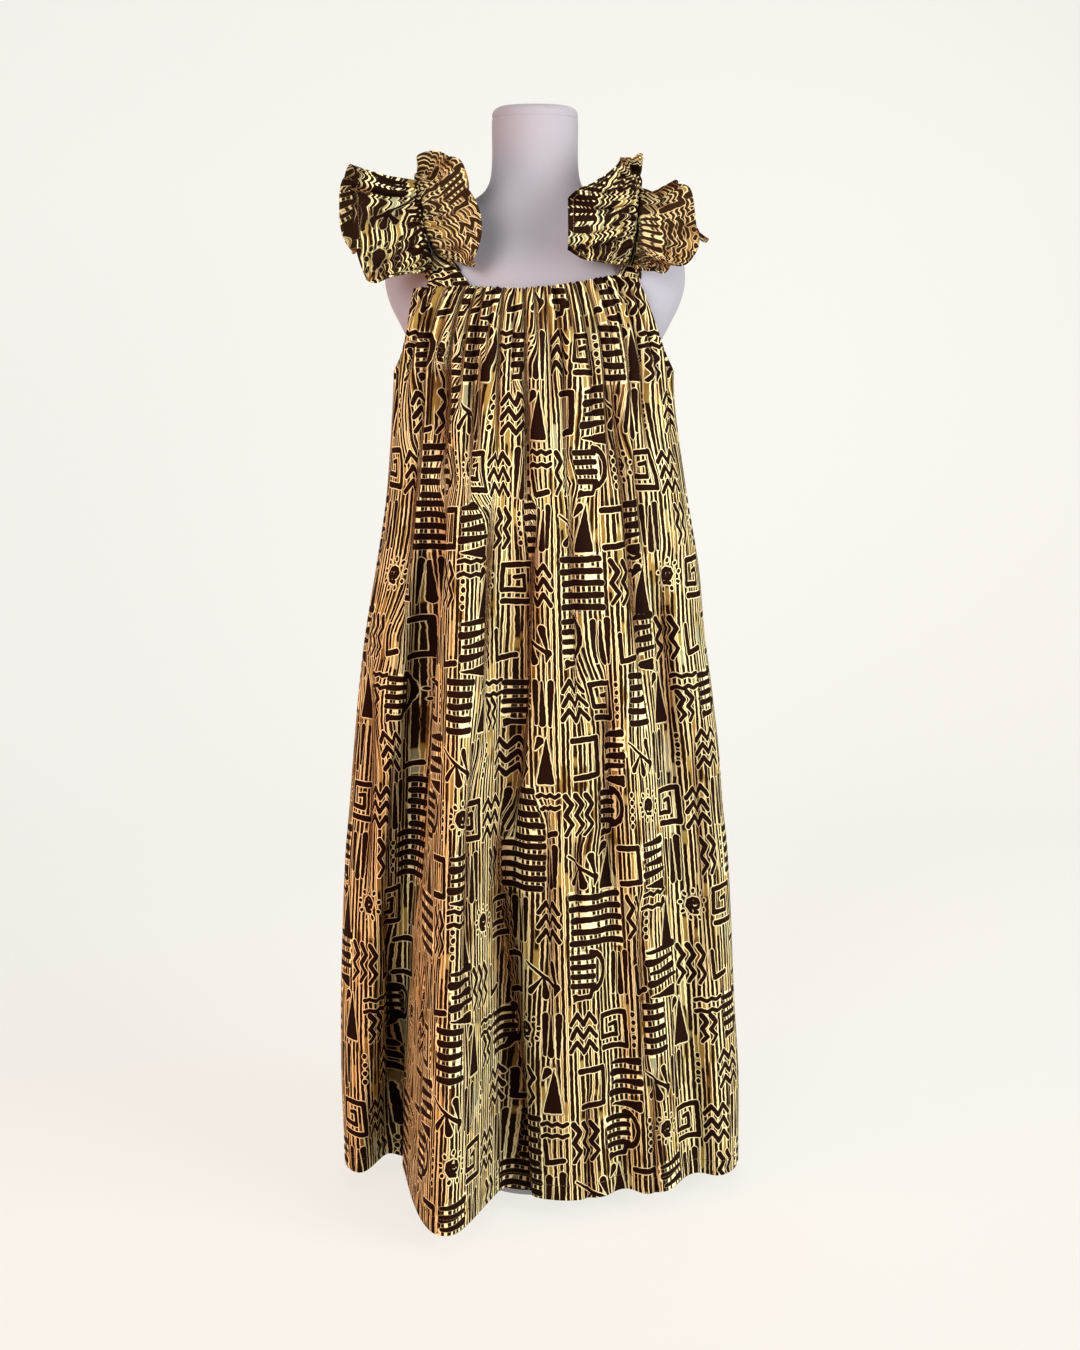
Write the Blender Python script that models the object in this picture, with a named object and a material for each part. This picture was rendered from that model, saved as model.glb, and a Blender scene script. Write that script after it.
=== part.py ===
# Wax print dress, worn by a limbless dress form on a pole and a round base.
# Metres, +Z up. The front of the dress faces -Y, the underside of the base lies at Z = 0,
# and the pole stands on X = 0, Y = 0.

import math

import bpy
from mathutils import Vector
from mathutils.bvhtree import BVHTree

for old in list(bpy.data.objects):
    bpy.data.objects.remove(old, do_unlink=True)

# Cloth
CLOTH_WALL = 0.0020
FACING_WALL = 0.0012
FRILL_WALL = 0.0013
STRAP_WALL = 0.0016
SEAM_GAP = 0.0003

# Heights of the skirt and the neck
HEM_Z = 0.025
ARMHOLE_Z = 1.043
NECK_Z = 1.143
FACING_DEPTH = 0.025
FACING_GAP = 0.0006
FACING_SHORT = 4

# Gathers along the neck edge
FRONT_GATHERS = 22
BACK_GATHERS = 20
GATHER_DEPTH = 0.0038
GATHER_END_Z = 0.930
POINTS_PER_GATHER = 4

# Fullness: how blunt the plan of the skirt is, and where the folds start and how fast they grow
PLAN_POWER = 0.75
FOLD_TOP_Z = 1.060
FOLD_GROWTH = 1.10
FOLD_SEAM_FADE = math.radians(14.0)
CURVE_SAMPLES = 361

# Outline of the dress, seen from the front and from the side: one row per height.
# Columns: height, left edge x, right edge x, front centre y, back centre y.
OUTLINE = (
    (0.025, -0.249, 0.266, -0.140, 0.160),
    (0.140, -0.252, 0.265, -0.139, 0.158),
    (0.240, -0.251, 0.258, -0.138, 0.155),
    (0.350, -0.247, 0.252, -0.137, 0.151),
    (0.440, -0.242, 0.246, -0.136, 0.147),
    (0.500, -0.236, 0.239, -0.136, 0.144),
    (0.570, -0.230, 0.233, -0.136, 0.141),
    (0.650, -0.222, 0.223, -0.136, 0.137),
    (0.720, -0.213, 0.213, -0.136, 0.133),
    (0.800, -0.199, 0.205, -0.137, 0.128),
    (0.880, -0.186, 0.191, -0.138, 0.123),
    (0.943, -0.180, 0.181, -0.138, 0.119),
    (1.000, -0.176, 0.173, -0.135, 0.115),
    (1.043, -0.173, 0.170, -0.129, 0.112),
    (1.092, -0.172, 0.170, -0.119, 0.109),
    (1.143, -0.172, 0.170, -0.109, 0.107),
)

# How far round the plan each armhole edge lies: one row per height.
# Columns: height, left edge angle, right edge angle, in degrees from the centre line.
ARMHOLE = (
    (1.043, 90.0, 90.0),
    (1.050, 79.0, 79.0),
    (1.062, 71.0, 71.0),
    (1.090, 64.5, 62.5),
    (1.143, 58.5, 55.0),
)

# Height of the neck edge above its lowest part: one row per place.
# Columns: place along the edge from -1 at the left to 1 at the right, rise.
NECK_RISE = (
    (-1.00, 0.000),
    (-0.50, 0.002),
    (0.00, 0.000),
    (0.45, 0.007),
    (0.80, 0.015),
    (1.00, 0.006),
)

# Folds of the front: one row per fold.
# Columns: x at the hem, x at the top, half width at the hem, half width at the top, reach.
FRONT_FOLDS = (
    (-0.186, -0.108, 0.024, 0.012, -0.100),
    (-0.110, -0.078, 0.040, 0.020, 0.128),
    (-0.034, -0.030, 0.019, 0.010, -0.028),
    (0.046, 0.018, 0.040, 0.016, 0.014),
    (0.112, 0.060, 0.016, 0.010, -0.016),
    (0.152, 0.090, 0.020, 0.012, 0.012),
    (0.204, 0.128, 0.022, 0.012, -0.034),
)

# Folds of the back, in the same columns.
BACK_FOLDS = (
    (-0.194, -0.120, 0.026, 0.012, -0.040),
    (-0.126, -0.078, 0.036, 0.016, 0.052),
    (-0.050, -0.034, 0.022, 0.012, -0.046),
    (0.022, 0.016, 0.034, 0.016, 0.034),
    (0.092, 0.058, 0.020, 0.012, -0.040),
    (0.146, 0.098, 0.028, 0.014, 0.040),
    (0.206, 0.136, 0.022, 0.012, -0.030),
)

# Heights of the rows of points. Below the gathers each row has half as many points.
GATHERED_ROWS = (0.875, 0.945, 1.000, 1.043, 1.062, 1.090, 1.118, 1.143)
PLAIN_ROWS = (0.025, 0.110, 0.210, 0.310, 0.410, 0.510, 0.610, 0.705, 0.795)

# Dress form: one row per height.
# Columns: height, half width, front y, back y.
TORSO = (
    (0.606, 0.118, -0.070, 0.078),
    (0.612, 0.134, -0.084, 0.092),
    (0.628, 0.144, -0.093, 0.102),
    (0.700, 0.152, -0.100, 0.110),
    (0.760, 0.144, -0.094, 0.100),
    (0.858, 0.118, -0.083, 0.076),
    (0.940, 0.130, -0.100, 0.080),
    (1.000, 0.142, -0.114, 0.088),
    (1.040, 0.149, -0.115, 0.091),
    (1.075, 0.154, -0.108, 0.092),
    (1.100, 0.166, -0.100, 0.091),
    (1.125, 0.178, -0.093, 0.090),
    (1.150, 0.184, -0.085, 0.088),
    (1.175, 0.182, -0.077, 0.084),
    (1.197, 0.171, -0.069, 0.078),
    (1.214, 0.152, -0.062, 0.071),
    (1.227, 0.129, -0.057, 0.064),
    (1.238, 0.102, -0.053, 0.058),
    (1.248, 0.078, -0.051, 0.054),
    (1.262, 0.060, -0.050, 0.051),
    (1.285, 0.053, -0.049, 0.049),
    (1.350, 0.052, -0.048, 0.048),
    (1.3565, 0.049, -0.045, 0.045),
    (1.360, 0.043, -0.039, 0.039),
)
TORSO_SIDES = 36

# Stand
POLE_RADIUS = 0.0125
POLE_SIDES = 24
POLE_TOP_Z = 0.6057
BASE_SIDES = 48
BASE = (
    (0.0000, 0.078),
    (0.0015, 0.080),
    (0.0070, 0.080),
    (0.0100, 0.076),
)
BASE_TOP_Z = 0.0100

# Shoulder straps. Columns: angle over the shoulder in degrees (front is negative), centre x,
# width, clearance from the form.
LEFT_STRAP = (
    (-44.0, -0.109, 0.038, 0.0045),
    (-32.0, -0.128, 0.016, 0.0030),
    (-16.0, -0.138, 0.012, 0.0018),
    (0.0, -0.140, 0.012, 0.0014),
    (16.0, -0.137, 0.012, 0.0018),
    (32.0, -0.127, 0.016, 0.0030),
    (44.0, -0.114, 0.022, 0.0045),
)
RIGHT_STRAP = (
    (-44.0, 0.113, 0.024, 0.0045),
    (-32.0, 0.120, 0.014, 0.0030),
    (-16.0, 0.124, 0.012, 0.0018),
    (0.0, 0.126, 0.012, 0.0014),
    (16.0, 0.124, 0.012, 0.0018),
    (32.0, 0.120, 0.014, 0.0030),
    (44.0, 0.112, 0.022, 0.0045),
)
STRAP_AXIS_Z = 1.085
LEFT_END_X = -0.103
LEFT_END_WIDTH = 0.054
LEFT_END_INSET = 0.0061
RIGHT_END_X = 0.111
RIGHT_END_WIDTH = 0.030
RIGHT_END_INSET = 0.0054
STRAP_BACK_WIDTH = 0.024
BACK_END_INSET = 0.0064
STRAP_END_LOW_Z = 1.122
STRAP_END_HIGH_Z = 1.144
STRAP_STEPS = 18

# Free edges of the frills: one row per turn of the edge.
# Columns: place along the strap from front to back, x, y, z, rise of the cloth near the strap.
LEFT_OUTER_FRILL = (
    (0.00, -0.150, -0.108, 1.160, 0.008),
    (0.04, -0.172, -0.124, 1.150, 0.014),
    (0.09, -0.192, -0.136, 1.150, 0.024),
    (0.14, -0.208, -0.140, 1.182, 0.034),
    (0.19, -0.213, -0.136, 1.228, 0.042),
    (0.25, -0.211, -0.124, 1.264, 0.048),
    (0.31, -0.218, -0.102, 1.281, 0.050),
    (0.37, -0.230, -0.076, 1.260, 0.046),
    (0.43, -0.231, -0.058, 1.214, 0.042),
    (0.49, -0.222, -0.040, 1.186, 0.038),
    (0.56, -0.216, -0.016, 1.190, 0.036),
    (0.63, -0.214, 0.008, 1.226, 0.040),
    (0.70, -0.204, 0.026, 1.258, 0.040),
    (0.77, -0.208, 0.050, 1.238, 0.032),
    (0.85, -0.210, 0.076, 1.196, 0.020),
    (0.93, -0.186, 0.100, 1.164, 0.012),
    (1.00, -0.154, 0.104, 1.164, 0.008),
)
LEFT_INNER_FRILL = (
    (0.00, -0.072, -0.110, 1.166, 0.008),
    (0.05, -0.069, -0.122, 1.176, 0.010),
    (0.10, -0.066, -0.134, 1.206, 0.020),
    (0.16, -0.070, -0.136, 1.240, 0.030),
    (0.22, -0.082, -0.124, 1.274, 0.038),
    (0.28, -0.092, -0.104, 1.292, 0.042),
    (0.34, -0.120, -0.086, 1.298, 0.040),
    (0.39, -0.142, -0.068, 1.293, 0.040),
    (0.45, -0.128, -0.046, 1.284, 0.030),
    (0.52, -0.092, -0.032, 1.262, 0.034),
    (0.59, -0.090, -0.008, 1.270, 0.038),
    (0.67, -0.116, 0.012, 1.292, 0.036),
    (0.75, -0.098, 0.038, 1.280, 0.034),
    (0.84, -0.080, 0.068, 1.244, 0.022),
    (0.92, -0.074, 0.096, 1.200, 0.010),
    (1.00, -0.082, 0.106, 1.168, 0.008),
)
RIGHT_INNER_FRILL = (
    (0.00, 0.086, -0.112, 1.172, 0.008),
    (0.05, 0.072, -0.120, 1.170, 0.008),
    (0.10, 0.050, -0.132, 1.176, 0.016),
    (0.15, 0.038, -0.134, 1.194, 0.024),
    (0.20, 0.036, -0.128, 1.224, 0.030),
    (0.26, 0.046, -0.114, 1.252, 0.034),
    (0.32, 0.073, -0.098, 1.268, 0.036),
    (0.38, 0.101, -0.086, 1.288, 0.034),
    (0.44, 0.122, -0.070, 1.298, 0.026),
    (0.51, 0.108, -0.048, 1.284, 0.024),
    (0.58, 0.078, -0.036, 1.264, 0.028),
    (0.66, 0.076, -0.008, 1.274, 0.030),
    (0.74, 0.100, 0.016, 1.290, 0.028),
    (0.84, 0.080, 0.064, 1.250, 0.020),
    (0.92, 0.070, 0.094, 1.204, 0.010),
    (1.00, 0.084, 0.106, 1.168, 0.008),
)
RIGHT_OUTER_FRILL = (
    (0.00, 0.142, -0.110, 1.168, 0.008),
    (0.05, 0.152, -0.118, 1.162, 0.006),
    (0.10, 0.172, -0.128, 1.170, 0.012),
    (0.16, 0.191, -0.126, 1.194, 0.018),
    (0.22, 0.185, -0.114, 1.230, 0.022),
    (0.29, 0.178, -0.098, 1.260, 0.026),
    (0.36, 0.164, -0.078, 1.257, 0.028),
    (0.43, 0.172, -0.056, 1.236, 0.028),
    (0.50, 0.198, -0.040, 1.208, 0.026),
    (0.58, 0.208, -0.012, 1.198, 0.028),
    (0.66, 0.192, 0.014, 1.232, 0.030),
    (0.74, 0.176, 0.036, 1.254, 0.028),
    (0.82, 0.192, 0.064, 1.216, 0.018),
    (0.91, 0.180, 0.094, 1.174, 0.008),
    (1.00, 0.146, 0.106, 1.166, 0.008),
)
FRILL_STEPS = 34
FRILL_GAP = 0.0008
FRILL_LEAN = 0.10

# How a frill rises from its strap and falls to its free edge.
# Columns: share of the way out, share of the rise.
FRILL_RISE = (
    (0.00, 0.00),
    (0.03, 0.70),
    (0.14, 1.00),
    (0.54, 0.55),
    (1.00, 0.00),
)


COTTON_FRONT = (0.400, 0.330, 0.140)
COTTON_BACK = (0.390, 0.320, 0.135)
COTTON_TRIM = (0.360, 0.290, 0.125)
JERSEY = (0.780, 0.750, 0.770)
STEEL = (0.520, 0.520, 0.540)


def smooth(value):
    """Ease a value between 0 and 1."""
    value = min(max(value, 0.0), 1.0)
    return value * value * (3.0 - 2.0 * value)


def along(table, key):
    """Read every column of a table at a key, on a curve through its rows."""
    last = len(table) - 1
    if key <= table[0][0]:
        return table[0][1:]
    if key >= table[last][0]:
        return table[last][1:]
    index = 0
    while table[index + 1][0] < key:
        index += 1
    low = table[index]
    high = table[index + 1]
    before = table[max(index - 1, 0)]
    after = table[min(index + 2, last)]
    span = high[0] - low[0]
    part = (key - low[0]) / span
    values = []
    for column in range(1, len(low)):
        slope_low = (high[column] - before[column]) / max(high[0] - before[0], span) * span
        slope_high = (after[column] - low[column]) / max(after[0] - low[0], span) * span
        square = part * part
        cube = square * part
        value = (2.0 * cube - 3.0 * square + 1.0) * low[column]
        value += (cube - 2.0 * square + part) * slope_low
        value += (3.0 * square - 2.0 * cube) * high[column]
        value += (cube - square) * slope_high
        values.append(value)
    return values


def plan_curve(folds, front, height):
    """Return the plan of one panel at a height: points left to right, with the folds."""
    left, right, front_y, back_y = along(OUTLINE, height)
    middle = (left + right) / 2.0
    half = (right - left) / 2.0
    depth = front_y if front else back_y
    side = -1.0 if front else 1.0
    fall = min(max((FOLD_TOP_Z - height) / (FOLD_TOP_Z - HEM_Z), 0.0), 1.0)
    growth = fall ** FOLD_GROWTH
    points = []
    for step in range(CURVE_SAMPLES):
        share = step / (CURVE_SAMPLES - 1)
        angle = math.pi * (share - 0.5)
        x = middle + half * math.sin(angle)
        y = depth * max(math.cos(angle), 0.0) ** PLAN_POWER
        fade = smooth((math.pi / 2.0 - abs(angle)) / FOLD_SEAM_FADE)
        for hem_x, top_x, hem_half, top_half, reach in folds:
            fold_x = top_x + (hem_x - top_x) * fall
            fold_half = top_half + (hem_half - top_half) * fall
            away = (x - fold_x) / fold_half
            y += side * reach * growth * fade * math.exp(-(abs(away) ** 2.4) * 0.8)
        points.append((x, y))
    return points


def armhole_cuts(points, height):
    """Return the shares of the left and the right half of a plan that the armholes leave."""
    left_angle, right_angle = along(ARMHOLE, height)
    total = sum(math.dist(points[i], points[i + 1]) for i in range(CURVE_SAMPLES - 1))
    left_cut = round((90.0 - left_angle) / 180.0 * (CURVE_SAMPLES - 1))
    right_cut = round((90.0 - right_angle) / 180.0 * (CURVE_SAMPLES - 1))
    left_run = sum(math.dist(points[i], points[i + 1]) for i in range(left_cut))
    right_first = CURVE_SAMPLES - 1 - right_cut
    right_run = sum(math.dist(points[i], points[i + 1]) for i in range(right_first, CURVE_SAMPLES - 1))
    return 1.0 - 2.0 * left_run / total, 1.0 - 2.0 * right_run / total


def squeeze(share, kept):
    """Move a share of the half width in, most near the edge, where the armhole cuts the cloth."""
    return share * (1.0 - (1.0 - kept) * share)


def spread(points, count, cuts):
    """Return points along a curve between its two cut ends, each with its normal."""
    lengths = [0.0]
    for index in range(1, len(points)):
        step = math.dist(points[index - 1], points[index])
        lengths.append(lengths[-1] + step)
    result = []
    index = 0
    for number in range(count):
        share = -1.0 + 2.0 * number / (count - 1)
        kept = cuts[0] if share < 0.0 else cuts[1]
        target = lengths[-1] * (1.0 + math.copysign(squeeze(abs(share), kept), share)) / 2.0
        while index < len(points) - 2 and lengths[index + 1] < target:
            index += 1
        span = lengths[index + 1] - lengths[index]
        part = (target - lengths[index]) / span
        low = points[index]
        high = points[index + 1]
        x = low[0] + (high[0] - low[0]) * part
        y = low[1] + (high[1] - low[1]) * part
        result.append((x, y))
    normals = []
    for number in range(count):
        before = result[max(number - 1, 0)]
        after = result[min(number + 1, count - 1)]
        run = (after[0] - before[0], after[1] - before[1])
        size = math.hypot(run[0], run[1])
        normals.append((run[1] / size, -run[0] / size))
    return result, normals


def gather_wave(number, gathers, height, cuts):
    """Return how far the gathers move one point of a row outwards."""
    depth = GATHER_DEPTH * smooth((height - GATHER_END_Z) / (NECK_Z - GATHER_END_Z))
    share = -1.0 + 2.0 * number / (gathers * POINTS_PER_GATHER)
    kept = cuts[0] if share < 0.0 else cuts[1]
    depth *= 1.0 - 2.0 * (1.0 - kept) * abs(share)
    phase = number * 2.0 * math.pi / POINTS_PER_GATHER
    gather = number // POINTS_PER_GATHER
    uneven = 0.80 + 0.20 * math.sin(2.7 * gather + 0.6)
    if number == 0 or number == gathers * POINTS_PER_GATHER:
        return 0.0
    return -depth * uneven * math.cos(phase + math.pi / 2.0)


def panel_row(folds, front, gathers, height, gathered, inset):
    """Return one row of points of a panel, moved in from the outside by an inset."""
    count = gathers * POINTS_PER_GATHER + 1 if gathered else gathers * POINTS_PER_GATHER // 2 + 1
    curve = plan_curve(folds, front, height)
    cuts = armhole_cuts(curve, height)
    points, normals = spread(curve, count, cuts)
    side = -1.0 if front else 1.0
    row = []
    rise_share = smooth((height - ARMHOLE_Z) / (NECK_Z - ARMHOLE_Z))
    for number in range(count):
        place = -1.0 + 2.0 * number / (count - 1)
        wave = gather_wave(number, gathers, height, cuts) if gathered else 0.0
        x, y = points[number]
        nx, ny = normals[number]
        if not front:
            nx, ny = -nx, -ny
        if number in (0, count - 1) and height <= ARMHOLE_Z:
            x -= math.copysign(inset, x)
            y = side * SEAM_GAP / 2.0
        else:
            x += nx * (wave - inset)
            y += ny * (wave - inset)
            y = side * max(side * y, SEAM_GAP / 2.0) if height <= ARMHOLE_Z else y
        rise = along(NECK_RISE, place)[0] * rise_share
        row.append((x, y, height + rise))
    return row


def add_object(name, points, faces, color, rough, metal, round_faces):
    """Make one named solid from its points and faces, with its own material."""
    mesh = bpy.data.meshes.new(name)
    mesh.from_pydata([tuple(point) for point in points], [], faces)
    mesh.validate()
    item = bpy.data.objects.new(name, mesh)
    bpy.context.scene.collection.objects.link(item)
    for face in mesh.polygons:
        face.use_smooth = round_faces
    finish = bpy.data.materials.new(name)
    finish.use_nodes = True
    shader = finish.node_tree.nodes["Principled BSDF"]
    shader.inputs["Base Color"].default_value = (color[0], color[1], color[2], 1.0)
    shader.inputs["Roughness"].default_value = rough
    shader.inputs["Metallic"].default_value = metal
    mesh.materials.append(finish)
    return item


def close_wall(name, outer, inner, color, flip):
    """Make one wall from rows of outer points and rows of inner points, closed all round."""
    points = []
    starts = []
    for layer in (outer, inner):
        layer_starts = []
        for row in layer:
            layer_starts.append(len(points))
            points.extend(row)
        starts.append(layer_starts)
    faces = []
    for layer in (0, 1):
        turn = (layer == 1) != flip
        rows = (outer, inner)[layer]
        for level in range(len(rows) - 1):
            low = starts[layer][level]
            high = starts[layer][level + 1]
            low_cells = len(rows[level]) - 1
            ratio = (len(rows[level + 1]) - 1) // low_cells
            for cell in range(low_cells):
                a = low + cell
                b = low + cell + 1
                c = high + (cell + 1) * ratio
                d = high + cell * ratio
                if ratio == 1:
                    ring = [[a, b, c], [a, c, d]]
                else:
                    ring = [[a, d + 1, d], [a, b, d + 1], [b, c, d + 1]]
                for face in ring:
                    faces.append(face[::-1] if turn else face)
    edge_outer = []
    edge_inner = []
    for layer, edge in ((0, edge_outer), (1, edge_inner)):
        rows = (outer, inner)[layer]
        edge.extend(starts[layer][0] + cell for cell in range(len(rows[0])))
        edge.extend(starts[layer][level] + len(rows[level]) - 1 for level in range(1, len(rows)))
        top = starts[layer][-1]
        edge.extend(top + cell for cell in range(len(rows[-1]) - 2, -1, -1))
        edge.extend(starts[layer][level] for level in range(len(rows) - 2, 0, -1))
    total = len(edge_outer)
    for index in range(total):
        after = (index + 1) % total
        face = [edge_outer[index], edge_inner[index], edge_inner[after], edge_outer[after]]
        faces.append(face[::-1] if flip else face)
    return add_object(name, points, faces, color, 0.85, 0.0, True)


def build_panel(name, folds, front, gathers, color):
    """Build the front or the back of the dress from its rows."""
    outer = []
    inner = []
    for height in PLAIN_ROWS:
        outer.append(panel_row(folds, front, gathers, height, False, 0.0))
        inner.append(panel_row(folds, front, gathers, height, False, CLOTH_WALL))
    for height in GATHERED_ROWS:
        outer.append(panel_row(folds, front, gathers, height, True, 0.0))
        inner.append(panel_row(folds, front, gathers, height, True, CLOTH_WALL))
    return close_wall(name, outer, inner, color, not front)


def build_facing(name, folds, front, gathers):
    """Build the strip that lies inside the neck edge of a panel."""
    outer = []
    inner = []
    near = CLOTH_WALL + FACING_GAP
    for height in (NECK_Z - FACING_DEPTH, NECK_Z - SEAM_GAP):
        whole = panel_row(folds, front, gathers, height, True, near)
        outer.append(whole[FACING_SHORT:-FACING_SHORT])
        whole = panel_row(folds, front, gathers, height, True, near + FACING_WALL)
        inner.append(whole[FACING_SHORT:-FACING_SHORT])
    return close_wall(name, outer, inner, COTTON_TRIM, not front)


def ring_points(half, front_y, back_y, height, sides):
    """Return one ring of an upright form."""
    points = []
    for side in range(sides):
        angle = 2.0 * math.pi * side / sides
        depth = -front_y if math.sin(angle) < 0.0 else back_y
        points.append((half * math.cos(angle), depth * math.sin(angle), height))
    return points


def stack_rings(name, rings, color, rough, metal):
    """Close a stack of rings into one solid."""
    points = []
    faces = []
    sides = len(rings[0])
    for ring in rings:
        points.extend(ring)
    for level in range(len(rings) - 1):
        for side in range(sides):
            a = level * sides + side
            b = level * sides + (side + 1) % sides
            faces.append([a, b, b + sides, a + sides])
    faces.append(list(range(sides))[::-1])
    top = (len(rings) - 1) * sides
    faces.append([top + side for side in range(sides)])
    item = add_object(name, points, faces, color, rough, metal, True)
    item.data.polygons[-1].use_smooth = False
    item.data.polygons[-2].use_smooth = False
    return item


def strap_rows(table, front_center, front_width, inset, skin):
    """Return the outer edge, inner edge and outward direction of a strap, front to back."""
    low = STRAP_END_LOW_Z
    high = STRAP_END_HIGH_Z
    rows = strap_end(front_center, front_width, inset, True, (low, high))
    for step in range(STRAP_STEPS + 1):
        first = table[0][0]
        last = table[-1][0]
        angle = first + (last - first) * step / STRAP_STEPS
        center, width, clear = along(table, angle)
        turn = math.radians(angle)
        out = Vector((0.0, math.sin(turn), math.cos(turn)))
        pair = []
        for x in (center - width / 2.0, center + width / 2.0):
            axis = Vector((x, 0.0, STRAP_AXIS_Z))
            hit = skin.ray_cast(axis + out * 0.4, -out)[0]
            pair.append(hit + out * (clear + STRAP_WALL))
        rows.append((pair[0], pair[1], out))
    rows.extend(strap_end(table[-1][1], STRAP_BACK_WIDTH, BACK_END_INSET, False, (high, low)))
    return rows


def strap_end(center, width, inset, front, heights):
    """Return the rows of a strap end, flat behind the neck facing."""
    side = -1.0 if front else 1.0
    rows = []
    for height in heights:
        pair = []
        for x in (center - width / 2.0, center + width / 2.0):
            curve = plan_curve((), front, min(height, NECK_Z))
            near = min(curve, key=lambda point: abs(point[0] - x))
            pair.append(Vector((x, near[1] - side * inset, height)))
        across = (pair[1] - pair[0]).normalized()
        out = across.cross(Vector((0.0, 0.0, 1.0))).normalized()
        if out.y * side < 0.0:
            out = -out
        rows.append((pair[0], pair[1], out))
    return rows


def build_strap(name, rows):
    """Build a strap as one wall over the shoulder."""
    outer = []
    inner = []
    for left, right, out in rows:
        outer.append([left, (left + right) / 2.0, right])
        inner.append([point - out * STRAP_WALL for point in outer[-1]])
    return close_wall(name, outer, inner, COTTON_TRIM, False)


def build_frill(name, table, rows, right_edge):
    """Build one frill from its strap edge to its free edge."""
    surface = []
    last = len(rows) - 1
    inward = 1.0 if right_edge else -1.0
    for step in range(FRILL_STEPS + 1):
        place = step / FRILL_STEPS
        x, y, z, rise = along(table, place)
        free = Vector((x, y, z))
        spot = 2.0 + place * (last - 4.001)
        low = int(spot)
        part = spot - low
        side = 1 if right_edge else 0
        edge = rows[low][side].lerp(rows[low + 1][side], part)
        out = rows[low][2].lerp(rows[low + 1][2], part).normalized()
        root = edge + Vector((inward * FRILL_GAP * 2.0, 0.0, 0.0)) - out * STRAP_WALL * 0.2
        line = []
        up = out + Vector((-inward * FRILL_LEAN, 0.0, 0.0))
        for share, lift in FRILL_RISE:
            line.append(root.lerp(free, share) + up * rise * lift)
        surface.append(line)
    outer = []
    inner = []
    for step, line in enumerate(surface):
        before = surface[max(step - 1, 0)]
        after = surface[min(step + 1, FRILL_STEPS)]
        front_line = []
        back_line = []
        for level, point in enumerate(line):
            near = line[max(level - 1, 0)]
            far = line[min(level + 1, len(line) - 1)]
            normal = (after[level] - before[level]).cross(far - near).normalized()
            front_line.append(point + normal * FRILL_WALL / 2.0)
            back_line.append(point - normal * FRILL_WALL / 2.0)
        outer.append(front_line)
        inner.append(back_line)
    return close_wall(name, outer, inner, COTTON_TRIM, True)


front_panel = build_panel("front_panel", FRONT_FOLDS, True, FRONT_GATHERS, COTTON_FRONT)
back_panel = build_panel("back_panel", BACK_FOLDS, False, BACK_GATHERS, COTTON_BACK)
front_facing = build_facing("front_neck_facing", FRONT_FOLDS, True, FRONT_GATHERS)
back_facing = build_facing("back_neck_facing", BACK_FOLDS, False, BACK_GATHERS)

torso_rings = [ring_points(half, low, high, z, TORSO_SIDES) for z, half, low, high in TORSO]
torso = stack_rings("form_torso", torso_rings, JERSEY, 0.90, 0.0)

pole_rings = []
for pole_z in (BASE_TOP_Z + SEAM_GAP, POLE_TOP_Z):
    pole_rings.append(ring_points(POLE_RADIUS, -POLE_RADIUS, POLE_RADIUS, pole_z, POLE_SIDES))
pole = stack_rings("form_pole", pole_rings, STEEL, 0.35, 1.0)
base_rings = [ring_points(radius, -radius, radius, z, BASE_SIDES) for z, radius in BASE]
base = stack_rings("form_base", base_rings, STEEL, 0.45, 1.0)

skin = BVHTree.FromPolygons(
    [vertex.co.copy() for vertex in torso.data.vertices],
    [tuple(face.vertices) for face in torso.data.polygons],
)
left_rows = strap_rows(LEFT_STRAP, LEFT_END_X, LEFT_END_WIDTH, LEFT_END_INSET, skin)
right_rows = strap_rows(RIGHT_STRAP, RIGHT_END_X, RIGHT_END_WIDTH, RIGHT_END_INSET, skin)
left_strap = build_strap("left_strap", left_rows)
right_strap = build_strap("right_strap", right_rows)
build_frill("left_outer_frill", LEFT_OUTER_FRILL, left_rows, False)
build_frill("left_inner_frill", LEFT_INNER_FRILL, left_rows, True)
build_frill("right_inner_frill", RIGHT_INNER_FRILL, right_rows, False)
build_frill("right_outer_frill", RIGHT_OUTER_FRILL, right_rows, True)
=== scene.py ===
"""Wax print dress on a limbless dress form: its cloth, print, stitches, stand and studio.

Metres, +Z up. The front of the dress faces -Y, left means the left side of the picture,
and the pole of the stand is on X = 0, Y = 0.
"""

import logging
import math
from collections.abc import Iterable
from dataclasses import dataclass
from enum import Enum
from functools import reduce

import bpy
import numpy as np
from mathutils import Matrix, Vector
from mathutils.bvhtree import BVHTree


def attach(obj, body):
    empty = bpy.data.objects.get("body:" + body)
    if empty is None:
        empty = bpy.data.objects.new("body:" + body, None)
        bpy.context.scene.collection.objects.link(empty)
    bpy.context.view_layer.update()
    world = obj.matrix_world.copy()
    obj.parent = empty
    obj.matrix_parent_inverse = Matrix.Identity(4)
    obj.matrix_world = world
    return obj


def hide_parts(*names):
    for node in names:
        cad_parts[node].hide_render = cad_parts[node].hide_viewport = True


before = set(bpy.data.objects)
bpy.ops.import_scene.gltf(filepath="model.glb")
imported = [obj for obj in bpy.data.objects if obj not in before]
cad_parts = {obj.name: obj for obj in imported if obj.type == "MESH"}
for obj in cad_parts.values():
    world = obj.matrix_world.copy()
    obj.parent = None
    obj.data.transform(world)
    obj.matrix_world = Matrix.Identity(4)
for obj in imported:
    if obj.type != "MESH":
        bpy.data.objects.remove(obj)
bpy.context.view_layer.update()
log = logging.getLogger("dress")
Array = np.ndarray
Material, Mesh, Object, Socket = bpy.types.Material, bpy.types.Mesh, bpy.types.Object, bpy.types.NodeSocket

BODY = "root"

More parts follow.
